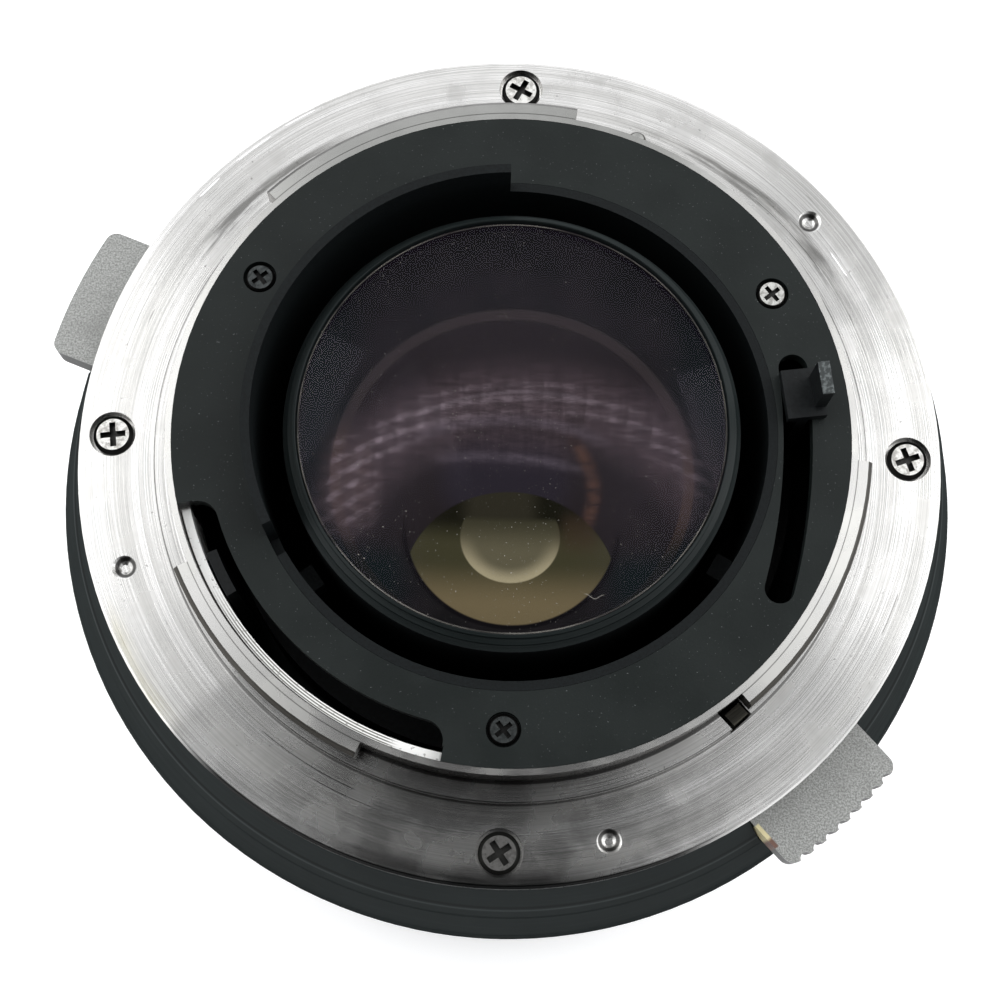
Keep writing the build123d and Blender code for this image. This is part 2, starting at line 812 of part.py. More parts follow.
def aperture_ring():
    top = aperture_ring_top
    bottom = aperture_ring_bottom
    band_bottom = bottom + aperture_ring_land + ring_edge
    band_top = top - aperture_ring_band
    body = turned([
        (aperture_ring_bore, bottom),
        (ring_radius - ring_edge, bottom),
        (ring_radius - ring_edge, bottom + aperture_ring_land),
        (aperture_ring_radius - ring_edge, band_bottom),
        (aperture_ring_radius, band_bottom + ring_edge),
        (aperture_ring_radius, band_top),
        (aperture_ring_radius - ring_edge, band_top + ring_edge),
        (collar_radius + aperture_lip, top - ring_edge),
        (collar_radius - aperture_lip, top),
        (aperture_ring_bore, top),
    ])
    distance = aperture_ring_radius + scallop_radius - scallop_depth
    for index in range(aperture_ring_scallops):
        angle = index * 360 / aperture_ring_scallops
        body -= upright(scallop_radius, band_bottom + ring_edge, band_top - 2 * ring_edge, distance, angle)
    groove_bore = aperture_ring_bore + groove_depth
    body -= ring(aperture_ring_bore - cut_past, groove_bore, detent_height - groove_half,
                 detent_height + groove_half)
    for index in range(aperture_stops):
        angle = detent_angle - index * aperture_click
        body -= radial_rod(notch_radius, aperture_ring_bore - cut_past, groove_bore + notch_depth, angle,
                           detent_height)
    body -= sector(aperture_ring_bore - cut_past, aperture_ring_bore + setting_foot + running_fit,
                   setting_arm_bottom - seat_fit, setting_arm_top + seat_fit,
                   setting_lever_start - setting_foot_play, setting_lever_end + setting_foot_play)
    return body


def setting_lever():
    riser = sector(setting_lever_inner, setting_lever_outer, setting_arm_bottom, setting_lever_top,
                   setting_lever_start, setting_lever_end)
    arm = sector(setting_lever_inner, aperture_ring_bore + setting_foot, setting_arm_bottom, setting_arm_top,
                 setting_lever_start, setting_lever_end)
    return riser + arm


def stop_down_ring():
    body = ring(stop_ring_inner, stop_ring_outer, stop_ring_bottom, stop_ring_top)
    post_start = stop_ring_outer - stop_post_radius
    post_end = stop_ring_outer + stop_spring_inset + stop_post_past
    body += radial_rod(stop_post_radius, post_start, post_end, stop_spring_start, stop_ring_middle)
    return body


def stop_down_lever():
    inner = stop_lever_radius
    outer = inner + stop_lever_thickness
    shelf_bottom = stop_shelf_top - stop_lever_thickness
    riser = radial_block(inner, outer, stop_lever_width, stop_ring_top, stop_shelf_top, stop_lever_angle)
    foot = radial_block(inner, stop_ring_outer - free_gap, stop_lever_width, stop_ring_top,
                        stop_ring_top + stop_lever_foot, stop_lever_angle)
    tab_outer = stop_tab_radius + stop_tab_thickness
    shelf = radial_block(stop_shelf_inner, tab_outer, stop_lever_width, shelf_bottom, stop_shelf_top,
                         stop_lever_angle)
    tab = radial_block(stop_tab_radius, tab_outer, stop_tab_width, shelf_bottom, stop_tab_top,
                       stop_lever_angle)
    return joined([riser, foot, shelf, tab])


def iris_drive_rod():
    rod = radial_block(rod_radius, rod_radius + rod_thickness, rod_width, rod_bottom, stop_ring_bottom,
                       rod_angle)
    foot = radial_block(baffle_outer + stop_ring_shoulder + free_gap, stop_ring_outer - free_gap,
                        2 * rod_width, stop_ring_bottom - rod_foot_height, stop_ring_bottom, rod_angle)
    return rod + foot


def stop_down_spring():
    distance = stop_ring_outer + stop_spring_inset
    start = stop_spring_start + stop_spring_clearance
    end = stop_spring_end - stop_spring_clearance
    half = math.radians((end - start) / 2)
    length = 2 * distance * math.sin(half)
    sleeve = Cylinder(stop_spring_radius, length) - Cylinder(stop_spring_bore, length + cut_past)
    across = Rot(0, 0, (start + end) / 2) * Pos(distance * math.cos(half), 0, stop_ring_middle)
    return across * Rot(90, 0, 0) * sleeve


def button_slab(angle):
    """A button that slides towards the axis, with ears that keep it in the collar."""
    slab = radial_block(button_inner, button_radius + cut_past, button_width, button_bottom, button_top,
                        angle)
    slab &= ring(0, button_radius, button_bottom - cut_past, button_top + cut_past)
    outer_face = slab.faces().filter_by(GeomType.CYLINDER).sort_by(SortBy.AREA)[-1]
    slab = fillet(outer_face.edges().filter_by(Axis.Z), button_corner)
    lower_edges = slab.edges().filter_by(GeomType.CIRCLE).group_by(Axis.Z)[0]
    slab = fillet(lower_edges.sort_by(SortBy.RADIUS)[-1:], button_lower_edge)
    ears = radial_block(button_inner, button_inner + button_ear_depth, button_ear_width, button_bottom,
                        button_top, angle)
    slab += ears
    for side in (-spring_offset, spring_offset):
        slab -= radial_rod(spring_radius + running_fit, button_inner - cut_past, spring_end, angle,
                           button_middle, side)
    return slab


def button_springs(angle):
    springs = []
    for side in (-spring_offset, spring_offset):
        sleeve = radial_rod(spring_radius, housing_radius + seat_fit, spring_end - seat_fit, angle,
                            button_middle, side)
        hole = radial_rod(spring_radius - spring_wall, housing_bore, spring_end + cut_past, angle,
                          button_middle, side)
        springs.append(sleeve - hole)
    return group(springs)


def preview_button():
    bore = radial_rod(plunger_radius + seat_fit, button_inner - cut_past, button_inner + plunger_grip,
                      preview_angle, button_middle)
    return button_slab(preview_angle) - bore


def preview_plunger():
    return radial_rod(plunger_radius, plunger_tip, button_inner + plunger_grip, preview_angle, button_middle)


def release_button():
    slab = button_slab(release_angle)
    pitch = button_width / (rib_count + 1)
    for index in range(rib_count):
        side = -button_width / 2 + pitch * (index + 1)
        centre = math.sqrt(button_radius**2 - side**2) + rib_depth / 4
        groove = Cylinder(rib_depth, 2 * (button_height + cut_past))
        slab -= Rot(0, 0, release_angle) * Pos(centre, side, button_bottom) * groove
    return slab


def release_pawl():
    bottom = button_top + seat_fit
    top = bottom + pawl_plate_thickness
    tip_outer = pawl_tip_inner + pawl_tip_length
    plate = radial_block(pawl_tip_inner + button_clearance, button_inner + pawl_plate_grip, pawl_plate_width,
                         bottom, top, release_angle)
    tip = radial_block(pawl_tip_inner, tip_outer, pawl_tip_width, bottom, pawl_tip_top, release_angle,
                       pawl_offset)
    return plate + tip


def main_barrel():
    flange_bottom = barrel_seat - main_flange_depth
    body = turned([
        (housing_bore, barrel_seat),
        (housing_bore, flange_bottom),
        (main_bore, flange_bottom),
        (main_bore, main_end),
        (main_radius, main_end),
        (main_radius, flange_bottom),
        (main_flange_radius - ring_edge, flange_bottom),
        (main_flange_radius, flange_bottom + ring_edge),
        (main_flange_radius, barrel_seat - ring_edge),
        (main_flange_radius - ring_edge, barrel_seat),
    ])
    half = math.degrees(zoom_key_width / 2 / main_bore) + zoom_window_margin
    body -= sector(main_bore - cut_past, main_radius + cut_past, zoom_key_bottom - free_gap,
                   zoom_key_top + free_gap, zoom_key_angle - half, zoom_key_angle + zoom_turn + half)
    for angle in cam_angles:
        body -= upright(main_screw_shank + running_fit, flange_bottom - cut_past, barrel_seat + cut_past,
                        main_screw_pitch, angle + 60)
        head_seat = flange_bottom + main_screw_sink + main_screw_head_height
        body -= upright(main_screw_head + running_fit, flange_bottom - cut_past, head_seat,
                        main_screw_pitch, angle + 60)
    return body


def guide_barrel():
    flange_bottom = barrel_seat - guide_flange_depth
    body = turned([
        (guide_bore, barrel_seat),
        (guide_bore, guide_end),
        (guide_radius, guide_end),
        (guide_radius, flange_bottom),
        (housing_bore - guide_flange_gap, flange_bottom),
        (housing_bore - guide_flange_gap, barrel_seat),
    ])
    slot_top = rear_roller_z + roller_radius + guide_slot_margin
    slot_bottom = carrier_roller_z - carrier_travel - roller_radius - guide_slot_margin
    for angle in cam_angles:
        body -= radial_block(guide_bore - cut_past, guide_radius + cut_past, slot_width, slot_bottom,
                             slot_top, angle)
        body -= upright(guide_screw_shank + running_fit, flange_bottom - cut_past, barrel_seat + cut_past,
                        guide_screw_pitch, angle)
        body -= upright(guide_screw_head + running_fit, flange_bottom - cut_past,
                        flange_bottom + guide_screw_sink + guide_screw_head_height, guide_screw_pitch, angle)
    return body


def barrel_screws():
    """Three screws that hold the main barrel and three smaller ones that hold the guide barrel."""
    screws = []
    main_face = barrel_seat - main_flange_depth + main_screw_sink
    guide_face = barrel_seat - guide_flange_depth + guide_screw_sink
    for angle in cam_angles:
        long_screw = cross_screw(main_screw_head, main_screw_head_height, main_screw_shank, main_screw_length,
                                 main_screw_turn)
        place = Rot(0, 0, angle + 60) * Pos(main_screw_pitch, 0, main_face)
        screws.append(place * Rot(180, 0, 0) * long_screw)
        short_screw = cross_screw(guide_screw_head, guide_screw_head_height, guide_screw_shank,
                                  guide_screw_length, guide_screw_turn)
        place = Rot(0, 0, angle) * Pos(guide_screw_pitch, 0, guide_face)
        screws.append(place * Rot(180, 0, 0) * short_screw)
    return group(screws)


def cam_retaining_ring():
    top = cam_end - cam_ring_play
    return ring(guide_radius + seat_fit, cam_radius, top - cam_ring_length, top)


def index_ring():
    return ring(main_radius + seat_fit, main_flange_radius - index_gap, index_ring_bottom, index_ring_top)


def cam_slot(start_z, travel, angle):
    """A slot that climbs steadily round the sleeve, cut as short straight runs."""
    step_turn = zoom_turn / cam_steps
    middle_radius = (cam_bore + cam_radius) / 2
    run = math.radians(step_turn) * middle_radius
    rise = travel / cam_steps
    slope = math.degrees(math.atan2(rise, run))
    length = math.hypot(run, rise)
    slot = None
    for index in range(cam_steps):
        turn = angle - step_turn * (index + 0.5)
        z = start_z - rise * (index + 0.5)
        place = Rot(0, 0, turn) * Pos(middle_radius, 0, z) * Rot(slope, 0, 0)
        piece = place * Box(cam_wall + 2 * cut_past, length + cam_run_overlap, slot_width + cam_slot_play)
        slot = piece if slot is None else slot + piece
    for turn, z in ((angle, start_z), (angle - zoom_turn, start_z - travel)):
        slot += radial_rod((slot_width + cam_slot_play) / 2 + seat_fit, cam_bore - cut_past,
                           cam_radius + cut_past, turn, z)
    return slot


def cam_sleeve():
    body = ring(cam_bore, cam_radius, cam_end, cam_top)
    tracks = ((rear_roller_z, rear_travel), (variator_roller_z, variator_travel),
              (carrier_roller_z, carrier_travel))
    for start_z, travel in tracks:
        for angle in cam_angles:
            body -= cam_slot(start_z, travel, angle)
    return body - zoom_key_seat(cam_bore - cut_past, cam_radius + cut_past)


def zoom_key_seat(inner, outer):
    """The pocket that the zoom key sits in."""
    return radial_block(inner, outer, zoom_key_width + 2 * zoom_key_play, zoom_key_bottom - zoom_key_play,
                        zoom_key_top + zoom_key_play, zoom_key_angle)


def zoom_key():
    return radial_block(cam_bore + free_gap, zoom_bore + zoom_key_grip, zoom_key_width, zoom_key_bottom,
                        zoom_key_top, zoom_key_angle)


def zoom_ring():
    body = turned([
        (zoom_bore, zoom_ring_top),
        (zoom_bore, zoom_ring_bottom),
        (ring_radius - ring_edge, zoom_ring_bottom),
        (ring_radius, zoom_ring_bottom + ring_edge),
        (ring_radius, zoom_grip_bottom),
        (ring_radius - grip_depth, zoom_grip_bottom),
        (ring_radius - grip_depth, zoom_grip_top),
        (ring_radius, zoom_grip_top),
        (ring_radius, zoom_ring_top - ring_edge),
        (ring_radius - ring_edge, zoom_ring_top),
    ])
    return body - zoom_key_seat(zoom_bore - cut_past, zoom_bore + zoom_key_grip + running_fit)


def rubber_grip(bottom, top):
    """A rubber sleeve with shallow grooves along it."""
    body = ring(ring_radius - grip_depth + seat_fit, grip_radius, bottom + seat_fit, top - seat_fit)
    for index in range(grip_ribs):
        body -= radial_block(grip_radius - grip_groove_depth, grip_radius + cut_past, grip_groove_width,
                             bottom + grip_groove_margin, top - grip_groove_margin, index * 360 / grip_ribs)
    return body


def zoom_grip():
    return rubber_grip(zoom_grip_bottom, zoom_grip_top)


def cam_rollers(z, inner, outer):
    """Three followers that run in the straight slots and the cam slots."""
    rollers = []
    for angle in cam_angles:
        rollers.append(radial_rod(roller_radius, inner, outer, angle, z))
    return group(rollers)


def carrier_barrel():
    shoulder_top = main_end - carrier_shoulder_gap
    shoulder_radius = main_radius - carrier_shoulder_inset
    body = turned([
        (carrier_bore, carrier_top),
        (carrier_bore, carrier_bottom),
        (carrier_radius, carrier_bottom),
        (carrier_radius, focus_web_top + focus_web_play),
        (shoulder_radius, focus_web_top + focus_web_play),
        (shoulder_radius, shoulder_top),
        (carrier_radius, shoulder_top),
        (carrier_radius, carrier_top),
    ])
    for angle in cam_angles:
        body -= radial_rod(roller_radius + seat_fit, carrier_bore - cut_past, carrier_radius + cut_past,
                           angle, carrier_roller_z)
    for angle in focus_key_angles:
        body -= radial_block(carrier_bore - cut_past, carrier_radius + cut_past,
                             focus_key_width + 2 * seat_fit, focus_key_bottom - seat_fit,
                             focus_key_top + seat_fit, angle)
    return body


def carrier_rollers():
    return cam_rollers(carrier_roller_z, guide_bore + free_gap, carrier_radius - roller_end_play)


def focus_guide_keys():
    keys = []
    for angle in focus_key_angles:
        keys.append(radial_block(cell_tube_radius - focus_key_depth, carrier_radius - roller_end_play,
                                 focus_key_width, focus_key_bottom, focus_key_top, angle))
    return group(keys)


def focus_retaining_ring():
    return ring(carrier_radius + seat_fit, carrier_radius + focus_clip_wall, carrier_bottom,
                focus_web_bottom - focus_web_play)


def focus_ring():
    return turned([
        (zoom_bore, focus_ring_top),
        (zoom_bore, focus_web_top),
        (main_bore, focus_web_top),
        (main_bore, focus_web_bottom),
        (zoom_bore, focus_web_bottom),
        (zoom_bore, focus_ring_bottom),
        (ring_radius - focus_front_edge, focus_ring_bottom),
        (ring_radius, focus_ring_bottom + focus_front_edge),
        (ring_radius, focus_grip_bottom),
        (ring_radius - grip_depth, focus_grip_bottom),
        (ring_radius - grip_depth, focus_grip_top),
        (ring_radius, focus_grip_top),
        (ring_radius, focus_ring_top - ring_edge),
        (ring_radius - ring_edge, focus_ring_top),
    ])


def focus_grip():
    return rubber_grip(focus_grip_bottom, focus_grip_top)


def front_cell():
    body = turned([
        (cell_tube_bore, cell_tube_top),
        (cell_tube_bore, front_glass_seat),
        (cell_sleeve_bore, front_glass_seat),
        (cell_sleeve_bore, filter_ring_top),
        (cell_sleeve_radius, filter_ring_top),
        (cell_sleeve_radius, cell_sleeve_top),
        (cell_sleeve_bore, cell_sleeve_top),
        (cell_sleeve_bore, cell_web_top),
        (cell_tube_radius, cell_web_top),
        (cell_tube_radius, cell_tube_top),
    ])
    groove_top = focus_key_top + focus_travel + focus_groove_margin
    groove_bottom = focus_key_bottom - focus_groove_margin
    groove_floor = cell_tube_radius - focus_key_depth - 2 * running_fit
    for angle in focus_key_angles:
        body -= radial_block(groove_floor, cell_tube_radius + cut_past, focus_key_width + 2 * running_fit,
                             groove_bottom, groove_top, angle)
    return body + ring(cell_tube_bore - cell_seat_reach, cell_tube_bore + cell_tube_wall / 3,
                       second_glass_seat - cell_seat_height, second_glass_seat)


def second_element():
    front_vertex = second_glass_seat + second_front_hollow
    return lens_element(cell_tube_bore - seat_fit, front_vertex + second_glass_thickness, -second_rear_hollow,
                        front_vertex, -second_front_hollow)


def second_element_ring():
    edge = second_glass_seat + second_front_hollow + second_glass_thickness + second_rear_hollow
    outer = cell_tube_bore - seat_fit
    return ring(outer - second_ring_width, outer, edge, edge + second_ring_height)


def front_element():
    rise = past_seat(cell_tube_bore, front_glass_radius, front_glass_rear_bulge)
    return lens_element(front_glass_radius, front_glass_seat + rise, front_glass_rear_bulge,
                        front_glass_vertex, front_glass_bulge)


def front_retaining_ring():
    lip_radius = front_glass_radius - front_ring_lip
    wall_radius = front_glass_radius - front_ring_wall_inset
    top = front_glass_vertex + front_glass_bulge - seat_fit
    lip = front_glass_vertex + front_glass_bulge * (lip_radius / front_glass_radius) ** 2 - 2 * seat_fit
    return turned([
        (front_glass_radius, top),
        (lip_radius, lip),
        (wall_radius, lip - front_ring_length),
        (wall_radius, filter_ring_top),
        (cell_sleeve_bore - seat_fit, filter_ring_top),
        (cell_sleeve_bore - seat_fit, top),
    ])


def filter_ring():
    return turned([
        (cell_sleeve_bore, filter_ring_top),
        (filter_radius - filter_edge, filter_ring_top),
        (filter_radius, filter_ring_top - filter_edge),
        (filter_radius, front_rim + filter_edge),
        (filter_radius - filter_edge, front_rim),
        (filter_bore, front_rim),
        (filter_bore, filter_ring_top - filter_web),
        (cell_sleeve_bore, filter_ring_top - filter_web),
    ])


def variator_cell():
    body = turned([
        (variator_glass_radius, variator_top),
        (variator_glass_radius, variator_seat),
        (variator_glass_radius - variator_lip, variator_seat),
        (variator_glass_radius - variator_lip, variator_bottom),
        (moving_radius, variator_bottom),
        (moving_radius, variator_top),
    ])
    for angle in cam_angles:
        body -= radial_rod(roller_radius + seat_fit, moving_radius - variator_roller_depth,
                           moving_radius + cut_past, angle, variator_roller_z)
    return body


def variator_element():
    return lens_element(variator_glass_radius - seat_fit, variator_glass_top, -variator_rear_hollow,
                        variator_seat + variator_front_hollow, -variator_front_hollow)


def variator_retaining_ring():
    edge = variator_glass_top + variator_rear_hollow
    outer = variator_glass_radius - seat_fit
    return ring(outer - variator_ring_width, outer, edge, edge + variator_ring_height)


def variator_rollers():
    return cam_rollers(variator_roller_z, moving_radius - variator_roller_depth,
                       cam_radius - roller_end_play)


def rod_window(bottom, top):
    """The curved window that the iris drive rod sweeps through."""
    half = math.degrees(rod_width / 2 / rod_radius) + window_margin_angle
    return sector(rod_radius - window_margin, rod_radius + rod_thickness + window_margin, bottom, top,
                  rod_angle - stop_travel - half, rod_angle + half)


def rear_cell():
    body = turned([
        (rear_glass_radius + seat_fit, rear_cell_top),
        (rear_glass_radius + seat_fit, rear_glass_seat),
        (rear_cell_bore, rear_glass_seat),
        (rear_cell_bore, rear_web_bottom),
        (iris_inner_wall, rear_web_bottom),
        (iris_inner_wall, base_plate_top),
        (moving_radius, base_plate_top),
        (moving_radius, rear_web_top),
        (rear_cell_radius, rear_web_top),
        (rear_cell_radius, rear_cell_top),
    ])
    body -= rod_window(rear_web_bottom - cut_past, rear_web_top + cut_past)
    for angle in cam_angles:
        body -= radial_rod(roller_stem + seat_fit, moving_radius - roller_stem_depth - running_fit,
                           moving_radius + cut_past, angle, rear_roller_z)
    return body


def rear_element():
    drop = past_seat(rear_cell_bore, rear_glass_radius, rear_glass_front_bulge)
    return lens_element(rear_glass_radius, rear_glass_edge + rear_glass_bulge, rear_glass_bulge,
                        rear_glass_seat - drop, rear_glass_front_bulge)


def rear_retaining_ring():
    """The stepped ring round the rear lens."""
    inner = rear_glass_radius + 2 * seat_fit
    outer = rear_cell_radius - seat_fit
    first_step = outer - rear_step_width
    second_step = first_step - rear_step_width
    return turned([
        (inner, rear_cell_top),
        (outer, rear_cell_top),
        (outer - rear_step_slope, rear_cell_top + rear_step_slope),
        (first_step + rear_step_draft, rear_cell_top + rear_first_rise),
        (first_step, rear_cell_top + rear_second_rise),
        (second_step + rear_step_draft, rear_cell_top + rear_third_rise),
        (second_step, rear_rim_top - 2 * rear_rim_edge),
        (inner + rear_rim_edge, rear_rim_top),
        (inner, rear_rim_top - rear_rim_edge),
    ])


def relay_element():
    return lens_element(rear_cell_bore - seat_fit, relay_glass_top, relay_rear_bulge,
                        relay_glass_top - relay_glass_thickness, relay_front_bulge)


def rear_rollers():
    rollers = []
    for angle in cam_angles:
        stem = radial_rod(roller_stem, moving_radius - roller_stem_depth, guide_radius, angle, rear_roller_z)
        roller = radial_rod(roller_radius, moving_radius + seat_fit, cam_radius - roller_end_play, angle,
                            rear_roller_z)
        rollers.append(stem + roller)
    return group(rollers)


def pivot_angles():
    return [pivot_start + index * 360 / iris_blades for index in range(iris_blades)]


def iris_base_plate():
    plate = ring(iris_opening, moving_radius, base_plate_bottom, base_plate_top)
    for angle in pivot_angles():
        plate -= upright(blade_pin_radius + seat_fit, base_plate_bottom - cut_past, base_plate_top + cut_past,
                         pivot_radius, angle)
    return plate - rod_window(base_plate_bottom - cut_past, base_plate_top + cut_past)


def ear_place(blade_angle, ring_angle):
    """Where a blade's drive pin is, seen from the drive ring, for a pivot on the X axis."""
    phi = math.radians(blade_angle)
    x = pivot_radius + ear_distance * math.sin(phi)
    y = -ear_distance * math.cos(phi)
    theta = math.radians(ring_angle)
    return (x * math.cos(theta) + y * math.sin(theta), -x * math.sin(theta) + y * math.cos(theta))


def iris_drive_ring():
    body = ring(iris_ring_bore, iris_ring_outer, iris_ring_bottom, iris_ring_top)
    path = ThreePointArc(
        ear_place(0, 0),
        ear_place(blade_turn / 2, -stop_travel / 2),
        ear_place(blade_turn, -stop_travel),
    )
    slot = extrude(SlotArc(path, 2 * (blade_pin_radius + blade_pin_play)), iris_ring_height + 2 * cut_past)
    for angle in pivot_angles():
        body -= Rot(0, 0, angle) * Pos(0, 0, iris_ring_bottom - cut_past) * slot
    body -= radial_block(rod_radius - running_fit, iris_ring_outer + cut_past, rod_width + 2 * running_fit,
                         iris_ring_bottom - cut_past, iris_ring_top + cut_past, rod_angle)
    return body


def iris_blade(index):
    """One blade on its own level, with a pivot pin below and a drive pin above."""
    top = first_blade_top - blade_pitch * index
    bottom = top - blade_thickness
    blade = sector(blade_inner, blade_outer, bottom, top, blade_start, blade_end)
    arm = sector(pivot_radius - blade_arm_width, pivot_radius, bottom, top, blade_arm_start, blade_arm_end)
    boss = upright(blade_boss, bottom, top, pivot_radius, 0)
    neck = Pos(pivot_radius, -ear_distance / 2, (top + bottom) / 2) * Box(blade_neck, ear_distance,
                                                                          blade_thickness)
    pivot = upright(blade_pin_radius, base_plate_bottom + free_gap, top, pivot_radius, 0)
    sideways = Pos(0, -ear_distance, 0)
    ear = sideways * upright(blade_ear, bottom, top, pivot_radius, 0)
    drive = sideways * upright(blade_pin_radius, bottom, iris_ring_top - free_gap, pivot_radius, 0)
    whole = joined([blade, arm, boss, neck, ear, pivot, drive])
    return Rot(0, 0, pivot_angles()[index]) * whole


parts = {
    "mount_flange": mount_flange(),
    "flange_screws": flange_screws(),
    "bayonet_stop_pin": bayonet_stop_pin(),
    "cover_plate": cover_plate(),
    "cover_screws": cover_screws(),
    "baffle_ring": baffle_ring(),
    "stop_ring_clip": stop_ring_clip(),
    "rear_housing": rear_housing(),
    "main_barrel": main_barrel(),
    "guide_barrel": guide_barrel(),
    "barrel_screws": barrel_screws(),
    "cam_retaining_ring": cam_retaining_ring(),
    "index_ring": index_ring(),
    "detent_ball": detent_ball(),
    "detent_spring": detent_spring(),
    "aperture_ring": aperture_ring(),
    "setting_lever": setting_lever(),
    "stop_down_ring": stop_down_ring(),
    "stop_down_lever": stop_down_lever(),
    "iris_drive_rod": iris_drive_rod(),
    "stop_down_spring": stop_down_spring(),
    "preview_button": preview_button(),
    "preview_plunger": preview_plunger(),
    "preview_springs": button_springs(preview_angle),
    "release_button": release_button(),
    "release_pawl": release_pawl(),
    "release_springs": button_springs(release_angle),
    "zoom_ring": zoom_ring(),
    "zoom_grip": zoom_grip(),
    "cam_sleeve": cam_sleeve(),
    "zoom_key": zoom_key(),
    "carrier_barrel": carrier_barrel(),
    "carrier_rollers": carrier_rollers(),
    "focus_guide_keys": focus_guide_keys(),
    "focus_retaining_ring": focus_retaining_ring(),
    "focus_ring": focus_ring(),
    "focus_grip": focus_grip(),
    "front_cell": front_cell(),
    "front_element": front_element(),
    "second_element": second_element(),
    "second_element_ring": second_element_ring(),
    "front_retaining_ring": front_retaining_ring(),
    "filter_ring": filter_ring(),
    "variator_cell": variator_cell(),
    "variator_element": variator_element(),
    "variator_rollers": variator_rollers(),
    "variator_retaining_ring": variator_retaining_ring(),
    "rear_cell": rear_cell(),
    "rear_element": rear_element(),
    "rear_retaining_ring": rear_retaining_ring(),
    "relay_element": relay_element(),
    "rear_rollers": rear_rollers(),
    "iris_base_plate": iris_base_plate(),
    "iris_drive_ring": iris_drive_ring(),
}
for index in range(iris_blades):
    parts[f"iris_blade_{index + 1}"] = iris_blade(index)

os.makedirs("parts", exist_ok=True)
for name, shape in parts.items():
    export_step(shape, f"parts/{name}.step")
print(len(parts), "parts written")
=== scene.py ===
# %% [markdown]
# A macro zoom lens stands on its front rim and shows its rear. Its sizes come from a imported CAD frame, so
# this script only gives each piece its looks: finishes, small details, lamps and a camera. The frame comes
# first, because every piece made here rides on one of its bodies.

# %% Load the frame
import json
import math

import bmesh
import bpy
from mathutils import Euler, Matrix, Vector


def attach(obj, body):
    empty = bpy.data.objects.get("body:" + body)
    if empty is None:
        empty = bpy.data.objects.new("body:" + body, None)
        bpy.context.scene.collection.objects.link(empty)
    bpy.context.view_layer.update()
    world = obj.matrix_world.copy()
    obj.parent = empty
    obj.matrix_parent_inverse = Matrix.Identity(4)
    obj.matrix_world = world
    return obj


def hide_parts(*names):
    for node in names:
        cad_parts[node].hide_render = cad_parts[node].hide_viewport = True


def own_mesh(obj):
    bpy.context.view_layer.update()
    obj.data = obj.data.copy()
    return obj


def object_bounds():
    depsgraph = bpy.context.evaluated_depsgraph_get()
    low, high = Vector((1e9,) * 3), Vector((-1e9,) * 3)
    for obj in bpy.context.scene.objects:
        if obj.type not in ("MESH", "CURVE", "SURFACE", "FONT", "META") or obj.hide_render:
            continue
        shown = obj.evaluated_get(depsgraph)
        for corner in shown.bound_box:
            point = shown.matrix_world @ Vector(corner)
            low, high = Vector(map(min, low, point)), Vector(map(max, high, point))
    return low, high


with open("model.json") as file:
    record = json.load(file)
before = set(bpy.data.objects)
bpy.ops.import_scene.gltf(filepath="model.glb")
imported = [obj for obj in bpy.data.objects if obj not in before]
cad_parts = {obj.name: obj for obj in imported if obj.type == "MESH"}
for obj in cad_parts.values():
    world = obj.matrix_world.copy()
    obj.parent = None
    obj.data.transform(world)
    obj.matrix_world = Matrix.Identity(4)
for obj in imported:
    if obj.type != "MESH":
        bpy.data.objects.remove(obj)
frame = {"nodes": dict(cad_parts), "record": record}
cad_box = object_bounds()
nodes = frame["nodes"]
MM = 0.001
print(len(nodes), "pieces from the frame, box", [tuple(round(v / MM, 1) for v in c) for c in cad_box])

# %% [markdown]
# Colours are easiest to read as the hex values of a paint chart, which are sRGB. A shader wants linear
# light, so one function turns them. A second small function adds a shader node, sets its options, fills or
# links its inputs and hands back its outputs, which keeps each material short enough to read. Most masks
# have soft edges, so the setting for a smooth step has a name of its own.

# %% Colour and node helpers
SMOOTH = {"interpolation_type": "SMOOTHSTEP"}


def linear(hex_code):
    """A linear colour from an sRGB hex code."""
    values = [int(hex_code[i:i + 2], 16) / 255 for i in (1, 3, 5)]
    light = [v / 12.92 if v <= 0.04045 else ((v + 0.055) / 1.055) ** 2.4 for v in values]
    return (*light, 1.0)


def add(tree, kind, *values, **settings):
    """Adds a shader node with its settings and returns its outputs. Values fill or link the inputs in their
    order, and a dict fills them by name or number."""
    node = tree.nodes.new("ShaderNode" + kind)
    for name, value in settings.items():
        setattr(node, name, value)
    inputs = {}
    for place, value in enumerate(values):
        inputs.update(value if isinstance(value, dict) else {place: value})
    for key, value in inputs.items():
        if isinstance(value, bpy.types.NodeSocket):
            tree.links.new(value, node.inputs[key])
        else:
            node.inputs[key].default_value = value
    return node.outputs


def new_material(name):
    """A material with an empty node tree, and that tree."""
    material = bpy.data.materials.new(name)
    material.use_nodes = True
    material.node_tree.nodes.clear()
    return material, material.node_tree


def finish_material(material, shader):
    """Links the last shader to the material's output."""
    add(material.node_tree, "OutputMaterial", {"Surface": shader})
    print("material", material.name, "with", len(material.node_tree.nodes), "nodes")
    return material


# %% [markdown]
# A lens is turned on a lathe, so its marks run round the axis. Each material reads the place of a point in
# millimetres and turns it into a distance from the axis and an angle. Marks are then masks in those two
# values.

# %% Places in millimetres and round the axis
# The distance from the axis at which the length of a mark is measured
RUN_RADIUS = 25.0


def place_mm(tree):
    """The point in the lens's own frame, in millimetres."""
    point = add(tree, "TexCoord")["Object"]
    return add(tree, "VectorMath", {0: point, "Scale": 1 / MM}, operation="SCALE")[0]


